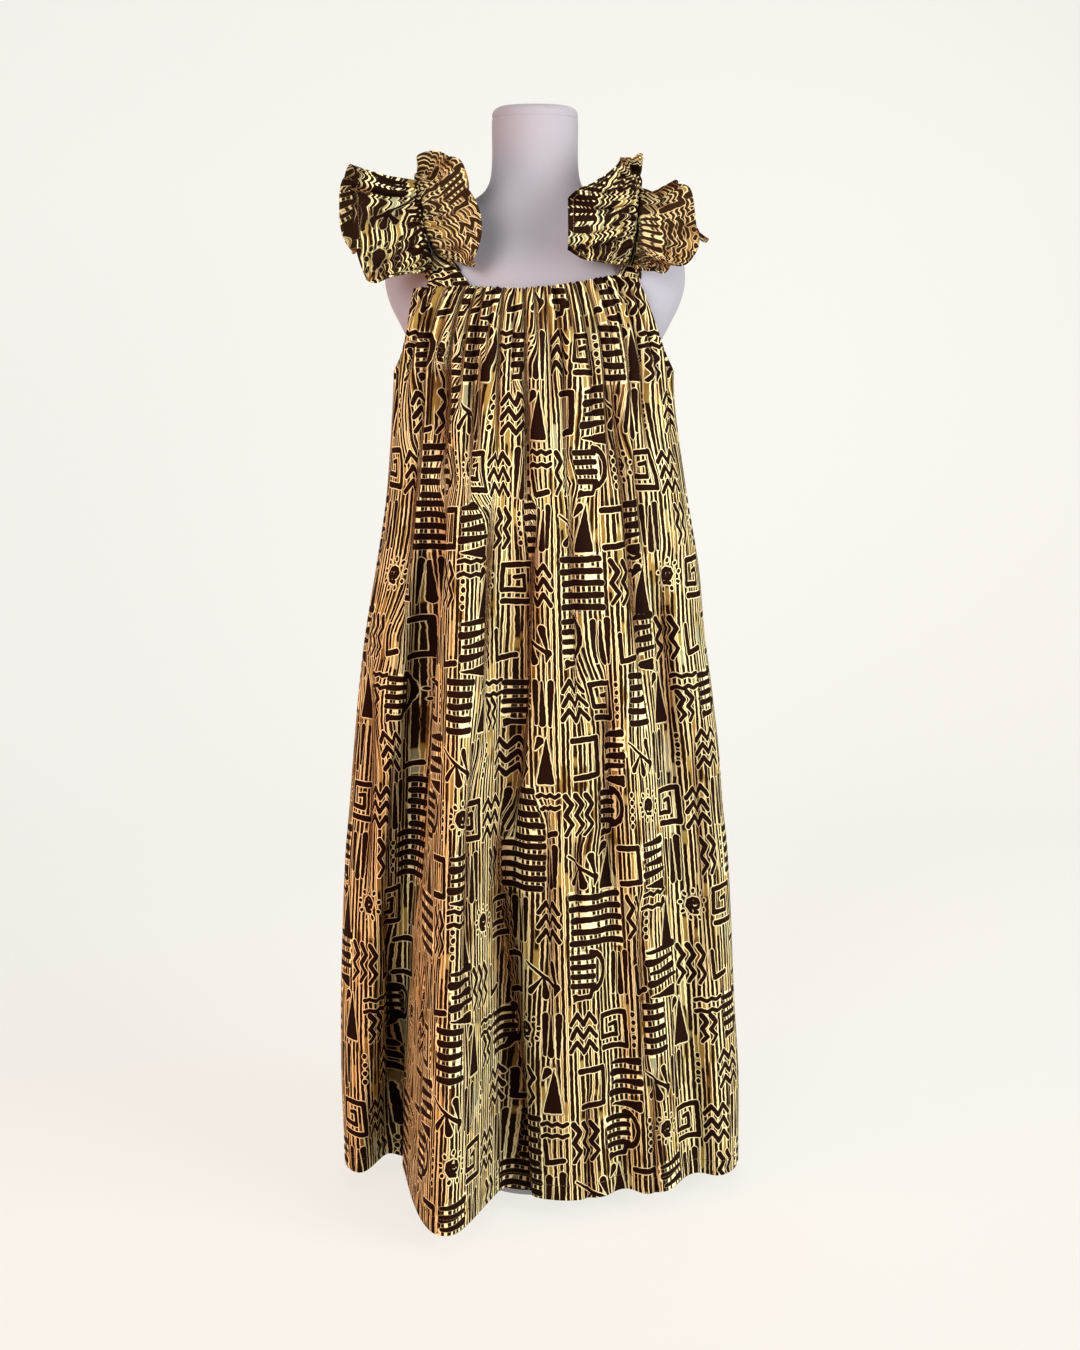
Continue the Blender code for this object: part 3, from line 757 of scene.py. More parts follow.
    def wedges(self, at: Field) -> None:
        """Draw slanted bars that taper, with a solid wedge below."""
        gap = at.tall / (at.count + 0.6)
        for index in range(at.count):
            place = at.high - gap * index
            start = (at.left + self.shaky(2.0), place - 4.0)
            end = (at.right + self.shaky(3.0), place + self.shaky(1.0))
            thick, thin = (2.9, 1.6) if index % 2 else (1.4, 3.0)
            self.stroke([start, end], thick, 0.0, thin, 2.6)
        for share in (0.0, 0.35, 0.7, 1.0):
            wedge = [(at.left, at.low + 2.0), (at.right - 2.0, at.low - 3.0 + 9.0 * share)]
            self.stroke(wedge, 0.7, 2.0, 1.8)

    def waves(self, at: Field) -> None:
        """Draw level wavy lines."""
        for index in range(at.count):
            place = at.low + at.tall * index / (at.count - 1)
            path = []
            for step in range(6):
                across = at.left + at.wide * step / 5.0
                path.append((across, place + (1.6 if step % 2 else -1.2) + self.shaky(0.5)))
            self.stroke(path, 1.7, 1.6)

    def sort_strokes(self) -> None:
        """List the strokes near each small square of the repeat."""
        self.squares = round(TILE / self.square)
        self.near = []
        for number in range(self.squares * self.squares):
            centre = (np.array(divmod(number, self.squares)) + 0.5) * self.square
            shift = np.round((centre - self.middles) / TILE) * TILE
            away = centre - self.table[:, 0:2] - shift
            share = np.clip((away * self.runs).sum(axis=1) / self.lengths, 0.0, 1.0)
            distance = np.linalg.norm(away - self.runs * share[:, None], axis=1)
            pick = np.argsort(distance)[: self.neighbours]
            self.near.append((pick, shift[pick]))

    def nearest(self, spots: Array) -> Array:
        """Find the strokes nearest to places on the cloth.

        Args:
            spots: Places on the cloth in metres, one per row.

        Returns:
            For each place the nearest strokes, in cloth metres.
        """
        result = np.zeros((len(spots), NEAREST, 8))
        corner = np.floor(spots / TILE) * TILE
        home = spots - corner
        cells = np.clip((home / self.square).astype(int), 0, self.squares - 1)
        numbers = cells[:, 0] * self.squares + cells[:, 1]
        order = np.argsort(numbers, kind="stable")
        edges = np.searchsorted(numbers[order], np.arange(self.squares * self.squares + 1))
        for number, (pick, shift) in enumerate(self.near):
            members = order[edges[number] : edges[number + 1]]
            if not len(members):
                continue
            rows = self.table[pick]
            away = home[members][:, None, :] - rows[None, :, 0:2] - shift[None]
            run = self.runs[pick]
            share = np.clip((away * run[None]).sum(axis=2) / self.lengths[pick], 0.0, 1.0)
            off = np.linalg.norm(away - run[None] * share[..., None], axis=2)
            half = rows[None, :, 2] + (rows[None, :, 5] - rows[None, :, 2]) * share
            score = off - half - rows[None, :, 6] * 0.5
            best = np.argpartition(score, NEAREST, axis=1)[:, :NEAREST]
            found = rows[best]
            moved = shift[best] + corner[members][:, None, :]
            found[..., 0:2] += moved
            found[..., 3:5] += moved
            result[members] = found
        return result


class Bench:
    """Adds and joins the nodes of one material."""

    def __init__(self, name: str) -> None:
        """Start a material with only its shader."""
        self.material = bpy.data.materials.new(name)
        self.material.use_nodes = True
        self.tree = self.material.node_tree
        self.shader = self.tree.nodes["Principled BSDF"]

    def feed(self, socket: Socket, value: object) -> None:
        """Join a socket to another one, or set its value."""
        if isinstance(value, Socket):
            self.tree.links.new(value, socket)
        else:
            socket.default_value = value

    def add(self, kind: str, sockets: dict, **settings: object) -> bpy.types.Node:
        """Add a node, set its options, and feed its sockets by name or number."""
        node = self.tree.nodes.new(kind)
        for key, value in settings.items():
            setattr(node, key, value)
        for key, value in sockets.items():
            self.feed(node.inputs[key], value)
        return node

    def finish(self, sockets: dict) -> Material:
        """Feed the sockets of the shader and return the material."""
        for key, value in sockets.items():
            self.feed(self.shader.inputs[key], value)
        return self.material

    def math(self, kind: str, *values: object, clamp: bool = False) -> Socket:
        """Add a sum on numbers and return its result."""
        return self.add("ShaderNodeMath", dict(enumerate(values)), operation=kind, use_clamp=clamp).outputs[0]

    def vector(self, kind: str, *values: object) -> Socket:
        """Add a sum on vectors and return its result."""
        node = self.add("ShaderNodeVectorMath", dict(enumerate(values)), operation=kind)
        return node.outputs["Value" if kind in ("DOT_PRODUCT", "LENGTH") else "Vector"]

    def scale(self, vector: Socket, factor: object) -> Socket:
        """Scale a vector by a number."""
        sockets = {0: vector, "Scale": factor}
        return self.add("ShaderNodeVectorMath", sockets, operation="SCALE").outputs["Vector"]

    def mix(self, factor: object, first: object, second: object, blend: str = "MIX") -> Socket:
        """Mix two colours."""
        sockets = {0: factor, 6: first, 7: second}
        return self.add("ShaderNodeMix", sockets, data_type="RGBA", blend_type=blend).outputs[2]

    def least(self, values: Iterable) -> Socket:
        """Return the least of several numbers."""
        return reduce(lambda first, second: self.math("MINIMUM", first, second), values)

    def split(self, kind: str, value: Socket) -> bpy.types.NodeOutputs:
        """Split a vector, of kind XYZ, or a colour, of kind Color, into its parts."""
        return self.add(f"ShaderNodeSeparate{kind}", {0: value}).outputs

    def attribute(self, name: str, output: str) -> Socket:
        """Read what the mesh stores under a name."""
        return self.add("ShaderNodeAttribute", {}, attribute_name=name).outputs[output]

    def four(self, name: str) -> list:
        """Read four numbers that the mesh stores as a colour."""
        node = self.add("ShaderNodeAttribute", {}, attribute_name=name)
        return [*self.split("Color", node.outputs["Color"]), node.outputs["Alpha"]]

    def cloth(self) -> Socket:
        """Return the place on the cloth, in metres."""
        return self.add("ShaderNodeUVMap", {}, uv_map="cloth").outputs["UV"]

    def place(self) -> Socket:
        """Return the place on the object, in metres."""
        return self.add("ShaderNodeTexCoord", {}).outputs["Object"]

    def noise(self, vector: Socket, scale: float, detail: float, colour: bool = False) -> Socket:
        """Add cloudy noise and return its value or its colour."""
        sockets = {"Vector": vector, "Scale": scale, "Detail": detail}
        node = self.add("ShaderNodeTexNoise", sockets, noise_dimensions="3D")
        return node.outputs["Color" if colour else "Fac"]

    def run(self, place: Socket) -> Socket:
        """Add noise along one direction and return its value."""
        sockets = {"W": place, "Scale": 1.0, "Detail": 1.0}
        return self.add("ShaderNodeTexNoise", sockets, noise_dimensions="1D").outputs["Fac"]

    def weave(self, spot: Socket, rates: tuple, distortion: float) -> Socket:
        """Return the height of threads that cross, from how fast they follow each other."""
        bands = []
        for direction, rate in zip("XY", rates):
            sockets = {"Vector": spot, "Scale": rate / WAVE_RATE, "Distortion": distortion}
            wave = self.add("ShaderNodeTexWave", sockets, wave_type="BANDS", bands_direction=direction)
            bands.append(wave.outputs["Fac"])
        return self.math("MULTIPLY", *bands)

    def below(self, value: Socket, edge: object, soft: float) -> Socket:
        """Return 1 where a value is below an edge and 0 above it, with a short change."""
        gap = self.math("SUBTRACT", edge, value)
        return self.math("MULTIPLY_ADD", gap, 1.0 / soft, 0.5, clamp=True)

    def above(self, value: Socket, edge: float, soft: float) -> Socket:
        """Return 1 where a value is above an edge and 0 below it, with a short change."""
        return self.below(self.math("MULTIPLY", value, -1.0), -edge, soft)

    def colours(self, factor: Socket, stops: tuple) -> Socket:
        """Add a row of colours and return the one at a factor."""
        node = self.add("ShaderNodeValToRGB", {"Fac": factor})
        ramp = node.color_ramp
        for place, _ in stops[2:]:
            ramp.elements.new(place)
        for element, (place, colour) in zip(ramp.elements, stops):
            element.position = place
            element.color = colour
        return node.outputs["Color"]

    def bump(self, height: Socket, strength: float, distance: float, base: Socket | None = None) -> Socket:
        """Add a bump and return its normal."""
        sockets = {"Height": height, "Strength": strength, "Distance": distance}
        if base is not None:
            sockets["Normal"] = base
        return self.add("ShaderNodeBump", sockets).outputs["Normal"]


def shade(red: float, green: float, blue: float) -> tuple:
    """Turn a colour as the eye names it, from 0 to 255, into the light that it gives back."""
    levels = []
    for level in (red, green, blue):
        share = level / 255.0
        levels.append(share / 12.92 if share <= 0.04045 else ((share + 0.055) / 1.055) ** 2.4)
    return (*levels, 1.0)


@dataclass(frozen=True)
class WaxPrint:
    """Printed cotton: brushed signs over fine upright lines on mottled ground, with painted shade in its
    creases.

    Colours are as the eye names them, and lengths are in metres on the cloth.
    """

    name: str
    wrong_side: bool = False
    ink: tuple = (20, 5, 4)
    line_ink: tuple = (26, 10, 4)
    pale: tuple = (255, 238, 182)
    olive: tuple = (147, 125, 64)
    sage: tuple = (145, 147, 116)
    ochre: tuple = (146, 116, 57)
    brown: tuple = (98, 67, 31)
    worn_ink: tuple = (132, 92, 48)
    backing: tuple = (150, 120, 78)
    pitch: float = 0.0073
    line_half: float = 0.00230
    line_spread: float = 0.00090
    pale_width: float = 0.00120
    more_ink: float = 0.0
    brush: float = 0.0022
    crush: float = 0.0016
    crush_scale: float = 34.0
    yarns: float = 2200.0
    # Strength and colour of the painted shade in the creases and valleys.
    crease_shade_strength: float = 0.88
    crease_shade_colour: tuple = (132, 78, 42)
    soft: float = 0.0005
    pale_soft: float = 0.0006
    plain_soft: float = 0.0012
    plain_cover: float = 0.75
    wear_cover: float = 0.05
    backing_cover: float = 0.07

    def signs(self, bench: Bench, spot: Socket) -> list:
        """Measure how far a place is from the nearest strokes.

        Args:
            bench: Nodes of the material.
            spot: Place on the cloth.

        Returns:
            Distance to the ink, to the edge of the pale line and to the edge of the plain ground.
        """
        flat = (1.0, 1.0, 0.0)
        found = []
        for number, widths in enumerate(zip(bench.four("stroke_pale"), bench.four("stroke_plain"))):
            start = bench.attribute(f"stroke_start_{number}", "Vector")
            run = bench.attribute(f"stroke_run_{number}", "Vector")
            away = bench.vector("SUBTRACT", spot, bench.vector("MULTIPLY", start, flat))
            flat_run = bench.vector("MULTIPLY", run, flat)
            reach = bench.vector("DOT_PRODUCT", away, flat_run)
            square = bench.vector("DOT_PRODUCT", flat_run, flat_run)
            share = bench.math("DIVIDE", reach, square, clamp=True)
            off = bench.vector("SUBTRACT", away, bench.scale(flat_run, share))
            start_half, more = bench.split("XYZ", start)["Z"], bench.split("XYZ", run)["Z"]
            half = bench.math("MULTIPLY_ADD", more, share, start_half)
            ink = bench.math("SUBTRACT", bench.vector("LENGTH", off), half)
            found.append([ink, *(bench.math("SUBTRACT", ink, width) for width in widths)])
        return [bench.least(kind) for kind in zip(*found)]

    def lines(self, bench: Bench, spot: Socket) -> tuple:
        """Lay out the fine upright lines, each a little off its place and broken now and then.

        Args:
            bench: Nodes of the material.
            spot: Place on the cloth.

        Returns:
            Where the dark lines are and where the pale lines are.
        """
        across, up, _ = bench.split("XYZ", spot)
        count = bench.math("DIVIDE", across, self.pitch)
        line = bench.math("FLOOR", count)
        chance = bench.add("ShaderNodeTexWhiteNoise", {"W": line}, noise_dimensions="1D").outputs["Value"]
        sway, shown, pale_shown = (
            bench.run(bench.math("MULTIPLY_ADD", up, rate, bench.math("MULTIPLY", line, jump)))
            for rate, jump in ((16.0, 7.3), (13.0, 17.1), (10.0, 5.7))
        )
        middle = bench.math("MULTIPLY_ADD", sway, 0.30, bench.math("MULTIPLY_ADD", chance, 0.34, -0.32))
        away = bench.math("SUBTRACT", bench.math("SUBTRACT", bench.math("FRACT", count), 0.5), middle)
        distance = bench.math("MULTIPLY", bench.math("ABSOLUTE", away), self.pitch)
        thick = bench.math("MULTIPLY_ADD", chance, self.line_spread, self.line_half - 0.00035)
        core = bench.below(distance, thick, self.soft)
        dark = bench.math("MULTIPLY", core, bench.above(shown, 0.36, 0.03))
        rim = bench.below(distance, bench.math("ADD", thick, self.pale_width), self.pale_soft)
        rim = bench.math("SUBTRACT", rim, core)
        return dark, bench.math("MULTIPLY", rim, bench.above(pale_shown, 0.38, 0.05))

    def ground(self, bench: Bench, spot: Socket) -> Socket:
        """Return the mottled colour between the lines."""
        patches = bench.noise(bench.vector("MULTIPLY", spot, (16.0, 8.0, 1.0)), 1.0, 1.5)
        shades = (self.brown, self.ochre, self.olive, self.sage)
        places = (0.37, 0.46, 0.55, 0.65)
        return bench.colours(patches, tuple((place, shade(*colour)) for place, colour in zip(places, shades)))

    def paint(self, bench: Bench, spot: Socket, worn: Socket) -> Socket:
        """Lay the print on the cloth.

        Args:
            bench: Nodes of the material.
            spot: Place on the cloth.
            worn: How worn the cloth is.

        Returns:
            The colour of the cloth.
        """
        drift = bench.vector("SUBTRACT", bench.noise(spot, 130.0, 1.0, True), (0.5, 0.5, 0.5))
        brushed = bench.vector("ADD", spot, bench.vector("MULTIPLY", drift, (self.brush, self.brush, 0.0)))
        ink, pale_edge, plain_edge = self.signs(bench, brushed)
        dark_line, pale_line = self.lines(bench, brushed)
        plain = bench.below(plain_edge, 0.0, self.plain_soft)
        lined = bench.math("SUBTRACT", 1.0, plain)
        colour = self.ground(bench, spot)
        for factor, tone in (
            (bench.math("MULTIPLY", plain, self.plain_cover), self.sage),
            (bench.math("MULTIPLY", pale_line, lined), self.pale),
            (bench.below(pale_edge, 0.0, self.pale_soft), self.pale),
            (bench.math("MULTIPLY", dark_line, lined), self.line_ink),
            (bench.below(ink, self.more_ink, self.soft), self.ink),
            (bench.math("MULTIPLY", worn, self.wear_cover), self.worn_ink),
        ):
            colour = bench.mix(factor, colour, shade(*tone))
        # Painted shade: the colour is multiplied towards a brown tint where the mesh marks a crease or
        # valley.
        depth = bench.math("MULTIPLY", bench.attribute("crease_shade", "Fac"), self.crease_shade_strength)
        colour = bench.mix(depth, colour, shade(*self.crease_shade_colour), "MULTIPLY")
        return bench.mix(self.backing_cover, colour, shade(*self.backing)) if self.wrong_side else colour

    def material(self) -> Material:
        """Build the material.

        Returns:
            The material of the printed cotton.
        """
        bench = Bench(self.name)
        spot = bench.cloth()
        worn = bench.noise(bench.vector("MULTIPLY", spot, (1.0, 0.35, 1.0)), 55.0, 3.0)
        weave = bench.weave(spot, (self.yarns, self.yarns), 0.4)
        crush = bench.noise(bench.vector("MULTIPLY", spot, (1.0, 0.45, 1.0)), self.crush_scale, 3.0)
        return bench.finish({
            "Base Color": self.paint(bench, spot, worn),
            "Normal": bench.bump(weave, 0.18, 0.00012, bench.bump(crush, 0.55, self.crush)),
            "Roughness": bench.math("MULTIPLY_ADD", worn, 0.18, 0.66),
            "Specular IOR Level": 0.03,
        })


@dataclass(frozen=True)
class Jersey:
    """White cotton jersey stretched over the form, with fine upright ribs."""

    base: tuple = (147, 149, 160)
    tint: tuple = (153, 145, 150)
    fluff: tuple = (186, 176, 184)
    ribs: float = 900.0
    loops: float = 1170.0

    def material(self) -> Material:
        """Build the material.

        Returns:
            The material of the jersey.
        """
        bench = Bench("white_jersey")
        place = bench.place()
        clouds, fibre = bench.noise(place, 7.0, 2.0), bench.noise(place, 420.0, 2.0)
        colour = bench.mix(clouds, shade(*self.base), shade(*self.tint))
        knit = bench.weave(bench.cloth(), (self.ribs, self.loops), 0.6)
        return bench.finish({
            "Base Color": bench.mix(bench.math("MULTIPLY", fibre, 0.10), colour, shade(*self.fluff)),
            "Normal": bench.bump(knit, 0.22, 0.00025),
            "Roughness": bench.math("MULTIPLY_ADD", fibre, 0.15, 0.78),
            "Specular IOR Level": 0.20,
            "Sheen Weight": 0.25,
        })


@dataclass(frozen=True)
class PaintedSteel:
    """Grey powder paint on steel, with fine grain and a little wear."""

    base: tuple = (150, 150, 154)
    worn: tuple = (104, 104, 110)

    def material(self) -> Material:
        """Build the material.

        Returns:
            The material of the painted steel.
        """
        bench = Bench("grey_painted_steel")
        place = bench.place()
        grain, wear = bench.noise(place, 900.0, 2.0), bench.noise(place, 26.0, 4.0)
        wear_share = bench.math("MULTIPLY", wear, 0.35)
        return bench.finish({
            "Base Color": bench.mix(wear_share, shade(*self.base), shade(*self.worn)),
            "Roughness": bench.math("MULTIPLY_ADD", wear, 0.25, 0.28),
            "Normal": bench.bump(grain, 0.15, 0.00020),
            "Metallic": 0.85,
        })


@dataclass(frozen=True)
class Thread:
    """Twisted sewing thread."""

    base: tuple = (92, 72, 40)
    light: tuple = (134, 110, 66)

    def material(self) -> Material:
        """Build the material.

        Returns:
            The material of the thread.
        """
        bench = Bench("sewing_thread")
        twist = bench.noise(bench.place(), 2600.0, 1.0)
        return bench.finish({
            "Base Color": bench.mix(twist, shade(*self.base), shade(*self.light)),
            "Normal": bench.bump(twist, 0.3, 0.0001),
            "Roughness": bench.math("MULTIPLY_ADD", twist, 0.3, 0.45),
        })


@dataclass(frozen=True)
class StudioPaper:
    """Pale matt paper of the floor and the backdrop, which glows less far from the dress."""

    base: tuple = (131, 131, 130)
    light: tuple = (247, 245, 238)
    glow: float = 0.82
    dim_glow: float = 0.15
    middle: float = 1.50
    outside: float = 2.60
    close: float = 0.7
    ahead: float = 2.0

    def material(self) -> Material:
        """Build the material.

        Returns:
            The material of the paper.
        """
        bench = Bench("pale_paper")
        across, back, _ = bench.split("XYZ", bench.place())
        sideways = self.ease(bench, bench.math("ABSOLUTE", across), self.middle, self.outside)
        forwards = self.ease(bench, bench.math("MULTIPLY", back, -1.0), self.close, self.ahead)
        dimmed = bench.math("MAXIMUM", sideways, forwards)
        return bench.finish({
            "Base Color": shade(*self.base),
            "Roughness": 0.95,
            "Specular IOR Level": 0.0,
            "Emission Color": shade(*self.light),
            "Emission Strength": bench.math("MULTIPLY_ADD", dimmed, self.dim_glow - self.glow, self.glow),
        })

    @staticmethod
    def ease(bench: Bench, value: Socket, low: float, high: float) -> Socket:
        """Return a value that eases from 0 at a low place to 1 at a high place."""
        sockets = {"Value": value, "From Min": low, "From Max": high}
        return bench.add("ShaderNodeMapRange", sockets, interpolation_type="SMOOTHSTEP").outputs["Result"]


def mesh_object(name: str, points: Array, quads: Array, material: Material) -> Object:
    """Make a smooth object from its points and four-sided faces.

    Args:
        name: Name of the piece.
        points: Places of the points.
        quads: Four point numbers per face.
        material: Finish of the piece.

    Returns:
        The new object.
    """
    mesh = bpy.data.meshes.new(name)
    mesh.vertices.add(len(points))
    mesh.vertices.foreach_set("co", points.astype(np.float32).ravel())
    mesh.loops.add(quads.size)
    mesh.loops.foreach_set("vertex_index", quads.astype(np.int32).ravel())
    mesh.polygons.add(len(quads))
    mesh.polygons.foreach_set("loop_start", np.arange(0, quads.size, 4, dtype=np.int32))
    mesh.polygons.foreach_set("use_smooth", np.ones(len(quads), dtype=bool))
    mesh.update(calc_edges=True)
    mesh.materials.append(material)
    item = bpy.data.objects.new(name, mesh)
    bpy.context.scene.collection.objects.link(item)
    return item


def store(mesh: Mesh, name: str, kind: str, domain: str, values: Array) -> None:
    """Store values on every point or face of a mesh, under a name that its finish reads."""
    field = {"FLOAT": "value", "FLOAT_VECTOR": "vector", "FLOAT_COLOR": "color"}[kind]
    attribute = mesh.attributes.new(name, kind, domain)
    attribute.data.foreach_set(field, values.astype(np.float32).ravel())


def store_places(mesh: Mesh, name: str, places: Array) -> None:
    """Store a flat place for every corner of every face."""
    mesh.uv_layers.new(name=name).data.foreach_set("uv", places.astype(np.float32).ravel())


def flow(path: Array) -> Array:
    """Return how far along a path each of its points is."""
    return np.concatenate([[0.0], np.cumsum(np.linalg.norm(np.diff(path, axis=0), axis=1))])


def read_path(values: Array, run: Array, places: object) -> Array:
    """Read the three columns of values along a run, at one place or at many."""
    return np.stack([np.interp(places, run, values[:, axis]) for axis in range(3)], axis=-1)


@dataclass
class Shell:
    """A sheet of cloth with a right side, a wrong side and its cut edges.

    The rows of points run across the sheet, and the rows follow each other up the sheet.
    """

    name: str
    outer: Array
    inner: Array
    cloth: Array
    # Painted shade of each point, from 0 to 1.
    crease_shade: Array
    flip: bool = False

    def __post_init__(self) -> None:
        """Number the points of the right side."""
        self.rows, self.columns, _ = self.outer.shape
        self.total = self.rows * self.columns
        self.number = np.arange(self.total).reshape(self.rows, self.columns)

    def edges(self) -> list:
        """Return the points along each of the four cut edges."""
        return [self.number[0, :], self.number[:, -1], self.number[-1, ::-1], self.number[::-1, 0]]

    def build(self, pattern: Print, finishes: tuple) -> Object:
        """Build the sheet and lay the print on it.

        Args:
            pattern: The print.
            finishes: Materials of the right side and of the wrong side.

        Returns:
            The sheet.
        """
        a, b = self.number[:-1, :-1].ravel(), self.number[:-1, 1:].ravel()
        c, d = self.number[1:, 1:].ravel(), self.number[1:, :-1].ravel()
        right = np.stack([a, b, c, d], axis=1)
        wrong = np.stack([a, d, c, b], axis=1) + self.total
        faces = [right, wrong]
        for edge in self.edges():
            a, b = edge[:-1], edge[1:]
            faces.append(np.stack([a, a + self.total, b + self.total, b], axis=1))
        quads = np.concatenate(faces)
        if self.flip:
            quads = quads[:, ::-1]
        points = np.concatenate([self.outer.reshape(-1, 3), self.inner.reshape(-1, 3)])
        item = mesh_object(self.name, points, quads, finishes[0])
        item.data.materials.append(finishes[1])
        sides = np.zeros(len(quads), dtype=np.int32)
        sides[len(right) : len(right) * 2] = 1
        item.data.polygons.foreach_set("material_index", sides)
        # Painted shade of the creases, the same on both sides of the sheet.
        store(item.data, "crease_shade", "FLOAT", "POINT", np.tile(self.crease_shade.ravel(), 2))
        self.lay_print(item.data, quads, pattern)
        self.unfold(item.data, quads, len(right))
        return item

    def lay_print(self, mesh: Mesh, quads: Array, pattern: Print) -> None:
        """Give every face its place on the cloth and the strokes that lie near it.

        Args:
            mesh: Mesh of the sheet.
            quads: Its faces.
            pattern: The print.
        """
        spots = self.cloth.reshape(-1, 2)[quads % self.total]
        store_places(mesh, "cloth", spots)
        found = pattern.nearest(spots.mean(axis=1))
        for index in range(NEAREST):
            start = found[:, index, 0:3]
            run = found[:, index, 3:6] - start
            store(mesh, f"stroke_start_{index}", "FLOAT_VECTOR", "FACE", start)
            store(mesh, f"stroke_run_{index}", "FLOAT_VECTOR", "FACE", run)
        store(mesh, "stroke_pale", "FLOAT_COLOR", "FACE", found[:, :, 6])
        store(mesh, "stroke_plain", "FLOAT_COLOR", "FACE", found[:, :, 7])

    def unfold(self, mesh: Mesh, quads: Array, count: int) -> None:
        """Unfold the sheet flat without overlaps.

        Args:
            mesh: Mesh of the sheet.
            quads: Its faces.
            count: Number of faces of the right side.
        """
        row = (quads % self.total) // self.columns / (self.rows - 1)
        column = (quads % self.total) % self.columns / (self.columns - 1)
        flat = np.zeros((len(quads), 4, 2))
        for first, (left, width) in ((0, UNFOLD_RIGHT), (count, UNFOLD_WRONG)):
            flat[first : first + count, :, 0] = left + width * column[first : first + count]
        low, height = UNFOLD_UP
        flat[: 2 * count, :, 1] = low + height * row[: 2 * count]
        left, pitch, width = UNFOLD_EDGES
        first = 2 * count
        for strip, edge in enumerate(self.edges()):
            length = len(edge) - 1
            near = low + height * (np.arange(length) / length)
            far = near + height / length
            corners = np.zeros((length, 4, 2))
            corners[..., 0] = left + pitch * strip
            corners[:, 1:3, 0] += width
            corners[:, :, 1] = np.stack([near, near, far, far], axis=1)
            flat[first : first + length] = corners[:, ::-1] if self.flip else corners
            first += length
        store_places(mesh, "OFBake", flat)


@dataclass
class Stitches:
    """A line of short machine stitches along a path on the cloth."""

    name: str
    path: Array
    out: Array
    pitch: float = 0.0042
    length: float = 0.0030
    half: float = 0.00032
    tip: float = 0.35
    sides: int = 6

    def build(self, material: Material) -> Object:
        """Build every stitch as a short rod with closed ends.

        Args:
            material: Finish of the thread.

        Returns:
            The stitches as one object.
        """
        run = flow(self.path)
        turn = 2.0 * math.pi * np.arange(self.sides) / self.sides
        points, quads = [], []
        for start in np.arange(self.pitch, run[-1] - self.pitch, self.pitch):
            low = read_path(self.path, run, start)
            high = read_path(self.path, run, start + self.length)
            out = unit(read_path(self.out, run, start))
            ahead = unit(high - low)
            across = unit(np.cross(ahead, out))
            rise = np.cross(across, ahead)
            circle = np.outer(np.cos(turn), across) + np.outer(np.sin(turn), rise)
            first = len(points) * self.sides
            inset = ahead * self.half
            for centre, size in ((low, self.tip), (low + inset, 1.0), (high - inset, 1.0), (high, self.tip)):
                points.append(centre + circle * self.half * size)
            for ring in range(3):
                for side in range(self.sides):
                    a = first + ring * self.sides + side
                    b = first + ring * self.sides + (side + 1) % self.sides
                    quads.append((a, b, b + self.sides, a + self.sides))
            last = first + 3 * self.sides
            quads += [(first + 3, first + 2, first + 1, first), (first + 5, first + 4, first + 3, first)]
            quads += [(last, last + 1, last + 2, last + 3), (last, last + 3, last + 4, last + 5)]
        return mesh_object(self.name, np.concatenate(points), np.array(quads), material)


@dataclass(frozen=True)
class Valley:
    """A crease that runs down a panel. One that starts at the neck edge is part of the gathers."""

    top: float
    top_x: float
    low: float
    low_x: float
    bow: float
    left: float
    right: float
    depth: float
    hidden: float
    fade_in: float = 0.24
    fade_out: float = 0.55

    @property
    def gather(self) -> bool:
        """Whether the valley is part of the gathers."""
        return self.top >= NECK_Z

    def part(self, height: float) -> float:
        """Return how far down the valley a height is, from 0 to 1."""
        return (self.top - height) / (self.top - self.low)

    def strength(self, height: float) -> float:
        """Return how strong the valley is at a height, from 0 to 1."""
        if height > self.top or height < self.low:
            return 0.0
        span = self.top - self.low
        start = 1.0 if self.gather else float(smooth((self.top - height) / (self.fade_in * span)))
        end = 1.0 if self.low <= HEM_Z else float(smooth((height - self.low) / (self.fade_out * span)))
        return start * end

    def x(self, height: float) -> float:
        """Return where the valley is at a height."""
        part = self.part(height)
        x = self.top_x + (self.low_x - self.top_x) * part + self.bow * math.sin(math.pi * part)
        return ANCHOR_X + (x - ANCHOR_X) * fan(height) if self.gather else x


@dataclass
class Row:
    """One level of a panel: its plan, and what the cloth does along it."""

    z: float
    x: Array
    run: Array
    spots: Array
    plan: Array
    normal: Array
    ends: Array

    def __post_init__(self) -> None:
        """Start with smooth cloth."""
        self.relief, self.crease_shade, self.pucker, self.place = (np.zeros(len(self.spots)) for _ in range(4))

    def seams(self, reach: float) -> Array:
        """Return 0 at both ends of the row and 1 away from them."""
        return smooth((self.spots - self.ends[0]) / reach) * smooth((self.ends[1] - self.spots) / reach)


